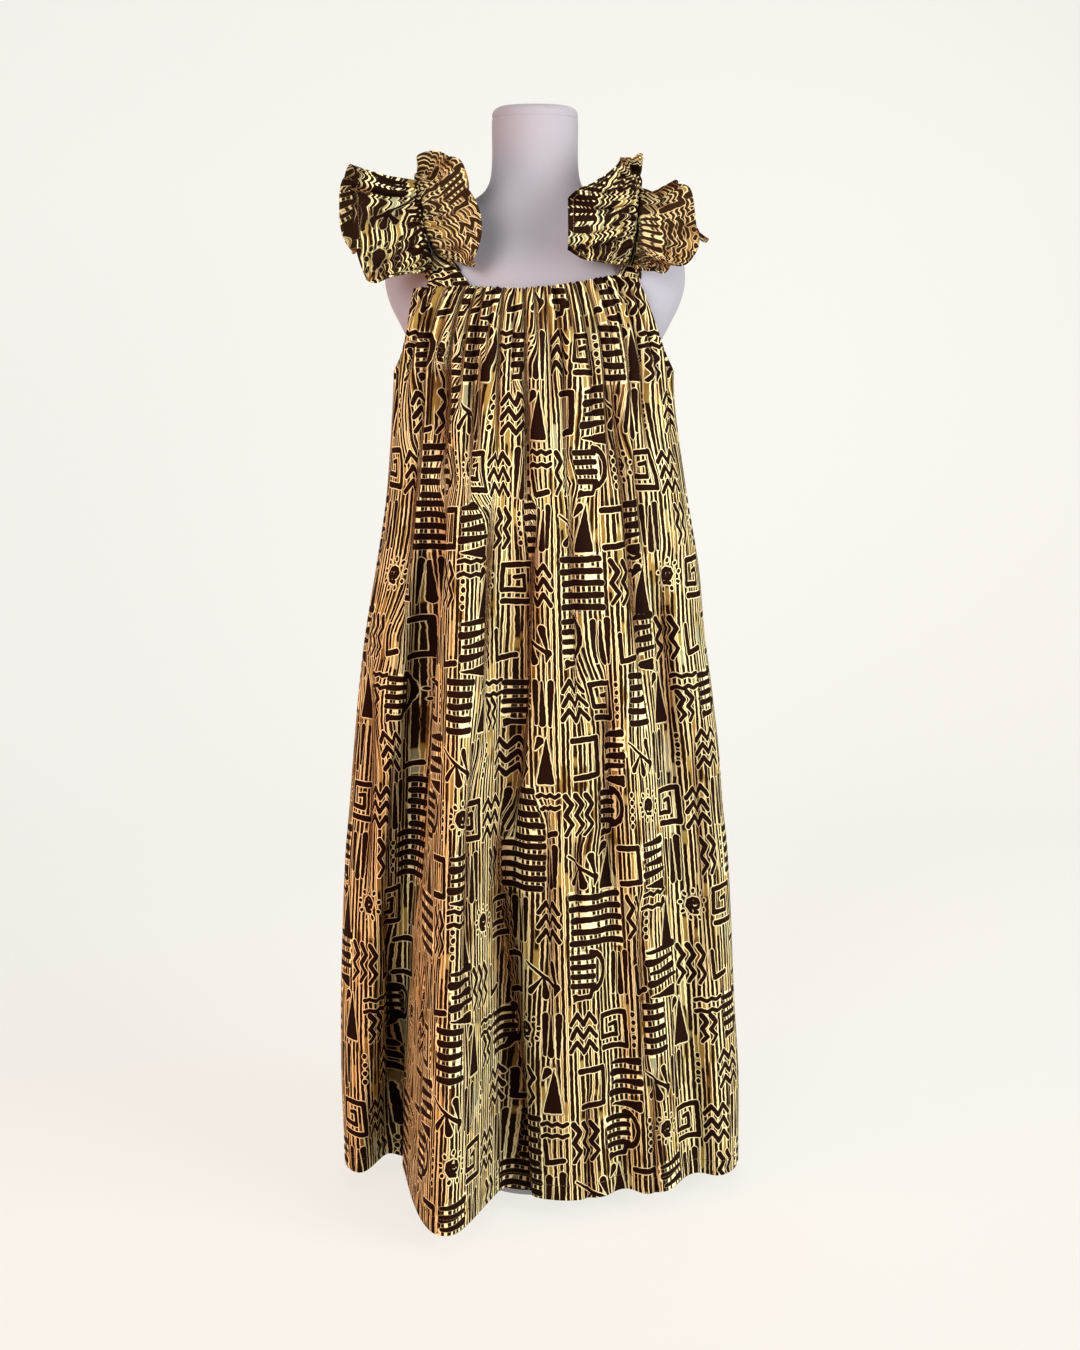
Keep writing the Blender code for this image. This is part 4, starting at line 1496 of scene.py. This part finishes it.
@dataclass
class Panel:
    """Front or back of the dress, gathered at the neck and hanging in folds."""

    name: str
    front: bool
    folds: tuple
    gathers: tuple
    valleys: tuple
    grain: tuple
    flat: tuple
    area: float
    columns: int = 300
    wall: float = 0.0016
    hem: float = 0.020
    casing: float = 0.020
    fullness: float = 0.150
    swell: float = 0.0042
    pucker: float = 0.0062
    scallop: float = 0.030
    deepest: float = 0.0070
    seam: float = 0.016
    gather_spread: float = 0.6
    gather_depth: float = 2.7
    gather_swell: float = 0.9
    gather_shadow: float = 0.62
    pucker_height: float = 0.0014
    pucker_rise: float = 0.0006
    pucker_reach: float = 0.018
    pucker_fade: float = 0.014
    drawn_up: float = 0.14
    casing_groove: float = 0.0009
    casing_width: float = 0.0022
    hem_step: float = 0.0004
    stitch_groove: float = 0.0007
    stitch_width: float = 0.0009
    stitch_inset: float = 0.001

    def __post_init__(self) -> None:
        """Work out the valleys and the rows once."""
        self.side = -1.0 if self.front else 1.0
        self.lines = []
        for x, low_z, depth, left, right, hidden in self.gathers:
            self.lines.append(Valley(NECK_Z, x, low_z, x, 0.0, left, right, depth, hidden))
        self.lines.extend(Valley(*valley) for valley in self.valleys)
        self.rows = [self.cross_section(height) for height in self.heights()]
        self.share_cloth()

    def heights(self) -> Array:
        """Return the heights of the rows, closest at the hem, the armholes and the neck."""
        return np.concatenate([
            HEM_Z + np.array(HEM_ROWS),
            np.linspace(HEM_Z + 0.031, 0.900, 88),
            np.linspace(0.907, ARMHOLE_Z, 22),
            ARMHOLE_Z + np.array(ARMHOLE_ROWS),
            np.linspace(ARMHOLE_Z + 0.021, NECK_Z, 24),
        ])

    def cross_section(self, height: float) -> Row:
        """Work out the plan of the panel at one height.

        Args:
            height: Height above the floor.

        Returns:
            The row, with smooth cloth.
        """
        left, right, front_y, back_y = along(OUTLINE, height)
        middle, half = (left + right) / 2.0, (right - left) / 2.0
        depth = front_y if self.front else back_y
        fall = fall_at(height)
        growth = fall**FOLD_GROWTH
        angle = np.linspace(-math.pi / 2.0, math.pi / 2.0, CURVE_SAMPLES)
        x = middle + half * np.sin(angle)
        y = depth * np.maximum(np.cos(angle), 0.0) ** PLAN_POWER
        fade = smooth((math.pi / 2.0 - np.abs(angle)) / FOLD_SEAM_FADE)
        for hem_x, top_x, hem_half, top_half, reach in self.folds:
            away = (x - top_x - (hem_x - top_x) * fall) / (top_half + (hem_half - top_half) * fall)
            y = y + self.side * reach * growth * fade * np.exp(-(np.abs(away) ** 2.4) * 0.8)
        run = np.concatenate([[0.0], np.cumsum(np.hypot(np.diff(x), np.diff(y)))])
        run -= np.interp(ANCHOR_X, x, run)
        left_angle, right_angle = np.radians(along(ARMHOLE, height))
        ends = np.interp([-left_angle, right_angle], angle, run)
        spots = np.linspace(ends[0], ends[1], self.columns)
        plan = np.stack([np.interp(spots, run, x), np.interp(spots, run, y)], axis=1)
        across, back = (np.interp(spots, run, np.gradient(values, run)) for values in (x, y))
        normal = unit(np.stack([back, -across], axis=1)) * (1.0 if self.front else -1.0)
        return Row(height, x, run, spots, plan, normal, ends)

    def borders(self, row: Row) -> Array:
        """Return the runs at which the grain lines and the side seams cross a row."""
        pinch = min(fan(row.z) / (1.0 + FAN_SPREAD), 1.0)
        lines = np.array(self.grain)
        across = (lines[:, 0] + (lines[:, 1] - lines[:, 0]) * fall_at(row.z)) * pinch
        return np.concatenate([row.run[:1], np.interp(across, row.x, row.run), row.run[-1:]])

    def crease_row(self, row: Row) -> list:
        """Work out the relief of one row and the painted shade of its valleys.

        Args:
            row: The row, which gets its relief and its painted shade.

        Returns:
            Run and share of hidden cloth of each valley that crosses the row.
        """
        height, spots = row.z, row.spots
        near_neck = float(smooth((height - NECK_Z + self.fullness) / self.fullness))
        relief = np.full(self.columns, self.swell * near_neck)
        crease_shade = np.zeros(self.columns)
        marks = []
        for valley in self.lines:
            strength = valley.strength(height)
            if strength <= 0.0:
                continue
            part = valley.part(height)
            wide, deeper, narrow = 1.0, 1.0, 1.0
            if valley.gather:
                wide = 1.0 + self.gather_spread * part
                deeper = self.gather_depth + self.gather_swell * math.sin(math.pi * min(part * 1.2, 1.0))
                narrow = self.gather_shadow
            spot = float(np.interp(valley.x(height), row.x, row.run))
            away = spots - spot
            width = np.where(away < 0.0, valley.left, valley.right) * wide
            depth = valley.depth * deeper * strength
            relief -= depth * np.exp(-((np.abs(away) / width) ** VALLEY_POWER))
            # Painted shade down the middle of the valley, narrower than the valley itself.
            shadow = np.exp(-((np.abs(away) / (narrow * width)) ** 1.6))
            crease_shade = np.maximum(crease_shade, min(depth / self.deepest, 1.0) * shadow)
            marks.append((spot, valley.hidden * strength))
        wave = spots * 2.0 * math.pi / self.pucker
        wave = wave + 1.6 * np.sin(spots * 61.0) + 1.1 * np.sin(spots * 149.0 + 1.0)
        near_edge = smooth((height - NECK_Z + self.pucker_reach) / self.pucker_fade)
        row.pucker = np.sin(wave) * float(near_edge)
        relief += self.pucker_height * row.pucker
        seams = row.seams(self.seam)
        row.relief = relief * seams
        # Painted shade also wherever the cloth lies below its smooth plan.
        row.crease_shade = np.maximum(crease_shade, 0.5 * np.clip(-relief / self.deepest, 0.0, 1.0)) * seams
        return marks

    def share_cloth(self) -> None:
        """Work out the relief and the place on the cloth of every point."""
        borders = np.array([self.borders(row) for row in self.rows])
        widths = np.diff(borders, axis=1).max(axis=0) + 0.002
        starts = np.concatenate([[0.0], np.cumsum(widths)])
        starts -= starts[len(starts) // 2]
        for row, edges in zip(self.rows, borders):
            marks = self.crease_row(row)
            cells = np.clip(np.searchsorted(edges, row.spots) - 1, 0, len(widths) - 1)
            for cell, width in enumerate(widths):
                low, high = edges[cell], edges[cell + 1]
                spare = width - (high - low)
                own = []
                for spot, weight in marks:
                    room = min(spot - low, high - spot)
                    if room > 0.0:
                        own.append((spot, weight * float(smooth(room / GRAIN_FADE))))
                total = sum(weight for _, weight in own) + EVEN_SHARE
                local = (row.spots - low) * (1.0 + spare * EVEN_SHARE / (total * (high - low)))
                for spot, weight in own:
                    hidden = 0.5 + 0.5 * np.tanh((row.spots - spot) / VALLEY_PINCH)
                    local += spare * weight / total * hidden
                inside = cells == cell
                row.place[inside] = starts[cell] + local[inside]

    def rise(self, row: Row, height: float) -> Array:
        """Return how far the cloth of a row is drawn up by the neck edge and its gathers.

        Args:
            row: The row.
            height: Height above the floor.

        Returns:
            The rise of each point of the row.
        """
        curve = along_many(NECK_RISE, np.linspace(-1.0, 1.0, self.columns))
        curve = curve * float(smooth((height - ARMHOLE_Z) / (NECK_Z - ARMHOLE_Z)))
        edge = float(smooth((height - NECK_Z + self.scallop) / self.scallop))
        drawn = self.drawn_up * edge * (row.relief - self.swell)
        return curve + drawn + self.pucker_rise * row.pucker

    def hem_fold(self, height: float) -> float:
        """Return how far the hem's fold and its line of stitches move the cloth out or in."""
        move = self.hem_step if height < HEM_Z + self.hem else 0.0
        stitched = abs(height - HEM_Z - self.hem + self.stitch_inset) < self.stitch_width
        return move - self.stitch_groove if stitched else move

    def shell(self) -> Shell:
        """Lay out the right and the wrong side of the panel.

        Returns:
            The sheet.
        """
        outer, inner, cloth = [], [], []
        for row in self.rows:
            casing = math.exp(-(((row.z - NECK_Z + self.casing) / self.casing_width) ** 2))
            relief = row.relief + self.hem_fold(row.z) - self.casing_groove * casing
            height = row.z + self.rise(row, row.z)
            for side, move in ((outer, relief), (inner, relief - self.wall)):
                plan = row.plan + row.normal * move[:, None]
                if row.z <= ARMHOLE_Z:
                    plan[:, 1] = self.side * np.maximum(self.side * plan[:, 1], SEAM_GAP / 2.0)
                side.append(np.column_stack([plan, height]))
            cloth.append(np.column_stack([row.place, height]))
        crease_shade = np.array([row.crease_shade for row in self.rows])
        sheets = (np.array(outer), np.array(inner), np.array(cloth))
        return Shell(self.name + "_cloth", *sheets, crease_shade, not self.front)

    def build(self, pattern: Print, finishes: tuple, thread: Material) -> Object:
        """Args:
            pattern: The print.
            finishes: Materials of the right side and of the wrong side.
            thread: Material of the stitches.

        Returns:
            The panel.
        """
        sheet = self.shell()
        item = sheet.build(pattern, finishes)
        hem_row = int(np.argmin(np.abs(self.heights() - HEM_Z - self.hem + self.stitch_inset)))
        normal = np.column_stack([self.rows[hem_row].normal, np.zeros(self.columns)])
        path = sheet.outer[hem_row] + normal * 0.0002
        stitches = Stitches(self.name + "_hem_stitches", path[4:-4], normal[4:-4]).build(thread)
        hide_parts(self.name)
        for piece in (item, stitches):
            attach(piece, BODY)
        return item


@dataclass
class NeckFacing:
    """Strip of cotton inside the neck edge of a panel."""

    name: str
    panel: Panel
    flat: tuple
    depth: float = 0.025
    gap: float = 0.0006
    wall: float = 0.0009
    below: float = 0.0012
    follow: float = 0.8
    cloth_offset: float = 0.07
    shadow: float = 0.6
    skip: int = 12
    steps: int = 9

    def build(self, pattern: Print, finishes: tuple) -> Object:
        """Args:
            pattern: The print.
            finishes: Materials of the right side and of the wrong side.

        Returns:
            The facing.
        """
        outer, inner, cloth = [], [], []
        keep = slice(self.skip, self.panel.columns - self.skip)
        near = self.panel.wall + self.gap
        for height in np.linspace(NECK_Z - self.depth, NECK_Z - self.below, self.steps):
            row = min(self.panel.rows, key=lambda row: abs(row.z - height))
            up = height + self.panel.rise(row, height)
            for side, inset in ((outer, near), (inner, near + self.wall)):
                plan = row.plan + row.normal * (row.relief * self.follow - inset)[:, None]
                side.append(np.column_stack([plan, up])[keep])
            cloth.append(np.column_stack([row.place, up + self.cloth_offset])[keep])
        # Painted shade over the whole facing, as it lies inside the neck edge.
        crease_shade = np.full((self.steps, self.panel.columns - 2 * self.skip), self.shadow)
        sheets = (np.array(outer), np.array(inner), np.array(cloth))
        sheet = Shell(self.name + "_cloth", *sheets, crease_shade, not self.panel.front)
        item = sheet.build(pattern, finishes)
        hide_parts(self.name)
        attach(item, BODY)
        return item


@dataclass
class Strap:
    """Strap over one shoulder, flat at its ends and drawn up in between."""

    name: str
    table: tuple
    front_x: float
    front_width: float
    front_inset: float
    flat: tuple
    area: float
    back_width: float = 0.024
    back_inset: float = 0.0064
    wall: float = 0.0014
    axis_z: float = 1.085
    low_z: float = 1.122
    high_z: float = 1.144
    steps: int = 18
    across: int = 15
    fine: int = 120
    flat_end: float = 0.03
    hump: float = 0.0010
    pucker: float = 0.0007
    pucker_rate: float = 900.0
    full_width: float = 0.044
    cloth_x: float = 0.37
    cloth_y: float = 0.21

    def rows(self, skin: BVHTree) -> list:
        """Work out the edges of the strap, front to back.

        Args:
            skin: Surface of the dress form.

        Returns:
            Left edge, right edge and outward direction of each row.
        """
        rows = self.end(self.front_x, self.front_width, self.front_inset, True, (self.low_z, self.high_z))
        for step in range(self.steps + 1):
            angle = self.table[0][0] + (self.table[-1][0] - self.table[0][0]) * step / self.steps
            centre, width, clear = along(self.table, angle)
            turn = math.radians(angle)
            out = Vector((0.0, math.sin(turn), math.cos(turn)))
            pair = []
            for x in (centre - width / 2.0, centre + width / 2.0):
                axis = Vector((x, 0.0, self.axis_z))
                hit = skin.ray_cast(axis + out * 0.4, -out)[0]
                pair.append(np.array(hit + out * (clear + self.wall)))
            rows.append((pair[0], pair[1], np.array(out)))
        last = self.table[-1][1]
        rows.extend(self.end(last, self.back_width, self.back_inset, False, (self.high_z, self.low_z)))
        return rows

    def end(self, centre: float, width: float, inset: float, front: bool, heights: tuple) -> list:
        """Work out the rows of a flat end behind the neck facing.

        Args:
            centre: Middle of the end in x.
            width: Width of the end.
            inset: How far the end lies inside the dress.
            front: Whether this is the front end.
            heights: Heights of its rows.

        Returns:
            Left edge, right edge and outward direction of each row.
        """
        side = -1.0 if front else 1.0
        rows = []
        for height in heights:
            left, right, front_y, back_y = along(OUTLINE, min(height, NECK_Z))
            depth = front_y if front else back_y
            pair = []
            for x in (centre - width / 2.0, centre + width / 2.0):
                sine = (x - (left + right) / 2.0) / ((right - left) / 2.0)
                y = depth * math.sqrt(max(1.0 - sine * sine, 0.0)) ** PLAN_POWER
                pair.append(np.array((x, y - side * inset, height)))
            ahead = unit(pair[1] - pair[0])
            out = unit(np.cross(ahead, np.array((0.0, 0.0, 1.0))))
            rows.append((pair[0], pair[1], out if out[1] * side > 0.0 else -out))
        return rows

    def build(self, rows: list, pattern: Print, finishes: tuple) -> Object:
        """Args:
            rows: Edges of the strap.
            pattern: The print.
            finishes: Materials of the right side and of the wrong side.

        Returns:
            The strap.
        """
        columns = [np.array(column) for column in zip(*rows)]
        run = flow((columns[0] + columns[1]) / 2.0)
        places = np.linspace(0.0, run[-1], self.fine)
        left, right, out = (read_path(values, run, places) for values in columns)
        share = np.linspace(0.0, 1.0, self.across)
        arch = np.sin(math.pi * share)[None, :]
        middle = smooth((places - self.flat_end) / self.flat_end)
        middle = middle * smooth((run[-1] - self.flat_end - places) / self.flat_end)
        pucker = self.pucker * np.sin(places * self.pucker_rate)[:, None] * arch * middle[:, None]
        base = left[:, None, :] + (right - left)[:, None, :] * share[None, :, None]
        normal = unit(out)[:, None, :]
        outer = base + normal * (self.hump * arch + pucker)[..., None]
        inner = outer - normal * self.wall
        full = np.maximum(np.linalg.norm(right - left, axis=1), self.full_width)[:, None]
        across = (share[None, :] - 0.5) * full + self.front_x + self.cloth_x
        length = np.repeat(places[:, None], self.across, axis=1)
        cloth = np.stack([across, length + self.cloth_y], axis=2)
        sheet = Shell(self.name + "_cloth", outer, inner, cloth, np.zeros(length.shape))
        item = sheet.build(pattern, finishes)
        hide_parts(self.name)
        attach(item, BODY)
        return item


@dataclass
class Frill:
    """Gathered frill along one edge of a strap."""

    name: str
    table: tuple
    strap: str
    right_edge: bool
    flat: tuple
    seed: float
    wall: float = 0.0011
    gap: float = 0.0008
    strap_wall: float = 0.0016
    lean: float = 0.10
    heading: float = 0.0095
    head_reach: float = 0.20
    along_steps: int = 420
    across_steps: int = 34
    across_power: float = 1.15
    hollow: float = 0.0010
    deepest: float = 0.0046
    creases: tuple = ((43, 0.0058, 0.15, 0.22), (17, 0.0108, 0.50, 0.30), (8, 0.0142, 1.00, 0.42))

    def __post_init__(self) -> None:
        """Share out the points along and across the frill."""
        self.places = np.linspace(0.0, 1.0, self.along_steps + 1)
        self.shares = np.linspace(0.0, 1.0, self.across_steps) ** self.across_power

    def surface(self, rows: list) -> Array:
        """Lay out the middle surface of the frill.

        Args:
            rows: Edges of its strap.

        Returns:
            Points, from the front to the back and from the strap to the free edge.
        """
        last = len(rows) - 1
        inward = 1.0 if self.right_edge else -1.0
        side = 1 if self.right_edge else 0
        lifts = along_many(FRILL_RISE, self.shares)[:, None]
        heads = (smooth(self.shares / 0.05) * np.exp(-((self.shares / self.head_reach) ** 2)))[:, None]
        lines = []
        for step in range(self.along_steps + 1):
            place = step / self.along_steps
            *free, rise = along(self.table, place)
            spot = 2.0 + place * (last - 4.001)
            low = int(spot)
            part = spot - low
            edge = rows[low][side] * (1.0 - part) + rows[low + 1][side] * part
            out = unit(rows[low][2] * (1.0 - part) + rows[low + 1][2] * part)
            root = edge + np.array((inward * self.gap * 2.0, 0.0, 0.0)) - out * self.strap_wall * 0.2
            up = out + np.array((-inward * self.lean, 0.0, 0.0))
            half = np.linalg.norm(rows[low][1] - rows[low][0]) / 2.0
            heading = np.array((-inward * min(half, self.heading), 0.0, 0.0)) + out * self.heading
            line = root + (np.array(free) - root) * self.shares[:, None] + up * (rise * lifts)
            lines.append(line + heading * heads)
        return np.array(lines)

    def crumple(self, base: Array) -> Array:
        """Return how far the gathers stand off the middle surface.

        Args:
            base: Points of the middle surface.

        Returns:
            The height of each point.
        """
        reach = np.linalg.norm(base[:, -1] - base[:, 0], axis=1)
        room = smooth(reach / 0.06) * smooth(self.places / 0.03) * smooth((1.0 - self.places) / 0.03)
        uneven = self.places + 0.011 * np.sin(2.0 * math.pi * 3.3 * self.places + self.seed)
        uneven += 0.006 * np.sin(2.0 * math.pi * 7.9 * self.places + 2.0 * self.seed)
        stronger = 0.72 + 0.28 * np.sin(2.0 * math.pi * 4.3 * self.places + 3.0 * self.seed)
        relief = np.zeros((self.along_steps + 1, self.across_steps))
        for count, height, centre, spread in self.creases:
            lean = uneven[:, None] + 0.010 * math.sin(self.seed + count) * self.shares[None, :]
            wave = np.abs(np.sin(math.pi * (count * lean + 0.37 * self.seed))) ** 0.7 - 0.6
            reached = np.exp(-(((self.shares - centre) / spread) ** 2)) * smooth(self.shares / 0.04)
            relief += height * wave * reached[None, :] * (stronger * room)[:, None]
        return relief

    def build(self, rows: list, pattern: Print, finishes: tuple, thread: Material) -> Object:
        """Args:
            rows: Edges of its strap.
            pattern: The print.
            finishes: Materials of the right side and of the wrong side.
            thread: Material of the stitches.

        Returns:
            The frill.
        """
        base = self.surface(rows)
        relief = self.crumple(base)
        middle = base + self.normals(base) * relief[..., None]
        normal = self.normals(middle)
        outer = middle + normal * self.wall / 2.0
        inner = middle - normal * self.wall / 2.0
        # Painted shade in the hollows of the gathers.
        crease_shade = np.clip((self.hollow - relief) / self.deepest, 0.0, 1.0)
        length = np.repeat(flow(middle[:, -1])[:, None], self.across_steps, axis=1)
        steps = np.linalg.norm(np.diff(middle, axis=1), axis=2)
        reach = np.pad(np.cumsum(steps, axis=1), ((0, 0), (1, 0)))
        cloth = np.stack([reach, length], axis=2) + np.array((0.11 * self.seed, 0.07 * self.seed))
        sheet = Shell(self.name + "_cloth", outer, inner, cloth, crease_shade, True)
        item = sheet.build(pattern, finishes)
        path = outer[:, -3] + normal[:, -3] * 0.0002
        stitches = Stitches(self.name + "_stitches", path, normal[:, -3]).build(thread)
        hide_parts(self.name)
        for piece in (item, stitches):
            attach(piece, BODY)
        return item

    @staticmethod
    def normals(points: Array) -> Array:
        """Return the direction out of a surface at each of its points."""
        return unit(np.cross(np.gradient(points, axis=0), np.gradient(points, axis=1)))


@dataclass
class DressForm:
    """Limbless form: a torso in a jersey cover, on a pole and a round base."""

    sides: int = 128
    levels: int = 190
    seam: float = 0.0007
    neck_seam: float = 1.3460
    cloth_radius: float = 0.14
    cap: tuple = (0.02, 0.35, 0.7, 0.9, 0.97)

    def heights(self) -> Array:
        """Return the heights of the rings, closest at the neck seam and at both ends."""
        low, high = TORSO[0][0], TORSO[-1][0]
        return np.unique(np.concatenate([
            np.linspace(low, high, self.levels),
            np.linspace(self.neck_seam - 0.003, self.neck_seam + 0.003, 13),
            np.linspace(1.350, high, 14),
            np.linspace(low, 0.612, 10),
        ]))

    def ring(self, height: float) -> Array:
        """Return the points round the torso at one height, the first again at the end."""
        turn = 2.0 * math.pi * np.arange(self.sides + 1) / self.sides
        half, front_y, back_y = along(TORSO, height)
        groove = self.seam * math.exp(-(((height - self.neck_seam) / 0.0009) ** 2))
        depth = np.where(np.sin(turn) < 0.0, -front_y, back_y)
        back_seam = self.seam * np.exp(-(((turn - math.pi / 2.0) / 0.012) ** 2))
        size = 1.0 - (groove + back_seam) / half
        x, y = half * np.cos(turn) * size, depth * np.sin(turn) * size
        return np.column_stack([x, y, np.full(len(turn), height)])

    def cover(self, material: Material) -> Object:
        """Build the torso in its jersey cover.

        Args:
            material: Finish of the jersey.

        Returns:
            The torso.
        """
        rings = [self.ring(float(height)) for height in self.heights()]
        caps = []
        for ring in (rings[0], rings[-1]):
            centre = ring.mean(axis=0)
            caps.append([centre + (ring - centre) * share for share in self.cap])
        grid = np.array(caps[0] + rings + caps[1][::-1])[:, : self.sides]
        number = np.arange(grid.shape[0] * self.sides).reshape(-1, self.sides)
        after = np.roll(number, -1, axis=1)
        quads = np.stack([number[:-1], after[:-1], after[1:], number[1:]], axis=-1).reshape(-1, 4)
        closing = []
        for ring in (number[0, ::-1], number[-1]):
            for index in range(1, self.sides - 2, 2):
                closing.append((ring[0], ring[index], ring[index + 1], ring[index + 2]))
        quads = np.concatenate([quads, np.array(closing)])
        points = grid.reshape(-1, 3)
        item = mesh_object("form_torso_cover", points, quads, material)
        columns = quads % self.sides
        span = columns.max(axis=1) - columns.min(axis=1)
        wrapped = (span > self.sides // 2)[:, None] & (columns == 0)
        across = (columns + self.sides * wrapped) * (2.0 * math.pi / self.sides * self.cloth_radius)
        store_places(item.data, "cloth", np.stack([across, points[quads][..., 2]], axis=2))
        return item

    def build(self, jersey: Material, steel: Material) -> Object:
        """Build the cover and finish the stand.

        Args:
            jersey: Finish of the torso.
            steel: Finish of the pole and the base.

        Returns:
            The torso.
        """
        item = self.cover(jersey)
        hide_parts("form_torso")
        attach(item, BODY)
        for node in ("form_pole", "form_base"):
            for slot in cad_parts[node].material_slots:
                slot.material = steel
        return item


@dataclass(frozen=True)
class Lamp:
    """One soft square light: its side in metres, its power in watts, its beam in degrees."""

    name: str
    spot: tuple
    aim: tuple
    size: float
    power: float
    colour: tuple
    spread: float = 180.0

    def hang(self) -> None:
        """Hang the light."""
        lamp = bpy.data.lights.new(self.name, "AREA")
        lamp.spread = math.radians(self.spread)
        lamp.size = self.size
        lamp.energy = self.power
        lamp.color = self.colour
        item = bpy.data.objects.new(self.name, lamp)
        item.location = self.spot
        item.rotation_euler = (Vector(self.aim) - Vector(self.spot)).to_track_quat("-Z", "Y").to_euler()
        bpy.context.scene.collection.objects.link(item)


LAMPS = (
    Lamp("key_light", (2.95, -1.85, 1.5), (0.0, 0.0, 1.3), 3.0, 74.0, (1.0, 0.985, 0.965), 100.0),
    Lamp("top_light", (0.3, -0.8, 3.4), (0.0, 0.2, 0.6), 2.0, 9.0, (1.0, 0.99, 0.98)),
    Lamp("left_light", (-2.3, -1.4, 0.8), (0.0, 0.0, 0.25), 1.4, 9.0, (1.0, 0.32, 0.12), 64.0),
    Lamp("front_light", (-1.0, -2.5, 1.9), (0.03, 0.0, 1.24), 1.4, 7.0, (1.0, 0.96, 0.94), 40.0),
)


@dataclass
class Studio:
    """Pale paper sweep, soft lights and the camera."""

    width: float = 9.0
    near: float = -4.2
    far: float = 1.9
    bend: float = 1.5
    bend_steps: int = 24
    height: float = 4.6
    air: tuple = (1.0, 0.94, 0.89, 1.0)
    air_strength: float = 0.17
    camera_spot: tuple = (0.0, -2.6, 1.088)
    tilt: float = 9.3
    focus: float = 2080.0
    frame_height: float = 1350.0
    sensor: float = 36.0
    shift: float = 5.0

    def sweep(self, material: Material) -> Object:
        """Build the floor that bends up into the backdrop.

        Args:
            material: Finish of the paper.

        Returns:
            The sweep.
        """
        side = [(self.near, 0.0), (self.far, 0.0)]
        for step in range(1, self.bend_steps + 1):
            turn = math.pi / 2.0 * step / self.bend_steps
            side.append((self.far + self.bend * math.sin(turn), self.bend * (1.0 - math.cos(turn))))
        side.append((self.far + self.bend, self.height))
        points = []
        for y, z in side:
            points.extend([(-self.width / 2.0, y, z), (self.width / 2.0, y, z)])
        quads = [(2 * i, 2 * i + 1, 2 * i + 3, 2 * i + 2) for i in range(len(side) - 1)]
        item = mesh_object("studio_sweep", np.array(points), np.array(quads), material)
        return item

    def build(self, paper: Material) -> None:
        """Set up the sweep, the lights and the camera.

        Args:
            paper: Finish of the sweep.
        """
        self.sweep(paper)
        scene = bpy.context.scene
        scene.view_settings.view_transform = "Standard"
        world = bpy.data.worlds.new("studio_air")
        world.use_nodes = True
        background = world.node_tree.nodes["Background"]
        background.inputs["Color"].default_value = self.air
        background.inputs["Strength"].default_value = self.air_strength
        scene.world = world
        for lamp in LAMPS:
            lamp.hang()
        camera = bpy.data.objects.new("camera", bpy.data.cameras.new("camera"))
        camera.location = self.camera_spot
        camera.rotation_euler = (math.radians(90.0 - self.tilt), 0.0, 0.0)
        camera.data.sensor_fit = "AUTO"
        camera.data.sensor_width = self.sensor
        camera.data.lens = self.sensor * self.focus / self.frame_height
        camera.data.shift_x = self.shift / self.frame_height
        scene.collection.objects.link(camera)
        scene.camera = camera


def report(piece: Object) -> None:
    """Log the name and the size of a piece."""
    log.info("%s: %d points", piece.name, len(piece.data.vertices))


def main() -> None:
    """Build the dress, its form and the studio in order."""
    logging.basicConfig(level=logging.INFO, format="%(message)s")
    pattern = Print()
    log.info("print: %d strokes in one repeat", len(pattern.table))
    smooth_side = WaxPrint("wax_print").material()
    wrong_side = WaxPrint("wax_print_wrong_side", wrong_side=True).material()
    crushed = WaxPrint("wax_print_crushed", line_half=0.0024, more_ink=0.0008, crush=0.0040, crush_scale=58.0)
    finishes, frill_finishes = (smooth_side, wrong_side), (crushed.material(), wrong_side)
    thread = Thread().material()

    report(DressForm().build(Jersey().material(), PaintedSteel().material()))
    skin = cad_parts["form_torso"].data
    corners = [point.co.copy() for point in skin.vertices]
    tree = BVHTree.FromPolygons(corners, [tuple(face.vertices) for face in skin.polygons])

    left = Strap("left_strap", LEFT_STRAP, -0.103, 0.054, 0.0061, (0.056, 0.330), 0.0085)
    right = Strap("right_strap", RIGHT_STRAP, 0.111, 0.030, 0.0054, (0.032, 0.330), 0.0070)
    rows = {strap.name: strap.rows(tree) for strap in (left, right)}
    for strap in (left, right):
        report(strap.build(rows[strap.name], pattern, finishes))

    for frill in (
        Frill("left_outer_frill", LEFT_OUTER_FRILL, "left_strap", False, (0.090, 0.580), 0.4),
        Frill("left_inner_frill", LEFT_INNER_FRILL, "left_strap", True, (0.070, 0.520), 1.7),
        Frill("right_inner_frill", RIGHT_INNER_FRILL, "right_strap", False, (0.066, 0.520), 2.9),
        Frill("right_outer_frill", RIGHT_OUTER_FRILL, "right_strap", True, (0.070, 0.490), 4.1),
    ):
        report(frill.build(rows[frill.strap], pattern, frill_finishes, thread))

    front_tables = (FRONT_FOLDS, FRONT_GATHERS, FRONT_VALLEYS, FRONT_GRAIN)
    back_tables = (BACK_FOLDS, BACK_GATHERS, BACK_VALLEYS, BACK_GRAIN)
    front = Panel("front_panel", True, *front_tables, (1.043, 1.125), 1.150)
    back = Panel("back_panel", False, *back_tables, (0.954, 1.125), 1.048, 280)
    for panel in (front, back):
        report(panel.build(pattern, finishes, thread))
    for panel, name in ((front, "front_neck_facing"), (back, "back_neck_facing")):
        report(NeckFacing(name, panel, (0.330, 0.030)).build(pattern, finishes))

    Studio().build(StudioPaper().material())


if __name__ == "__main__":
    main()
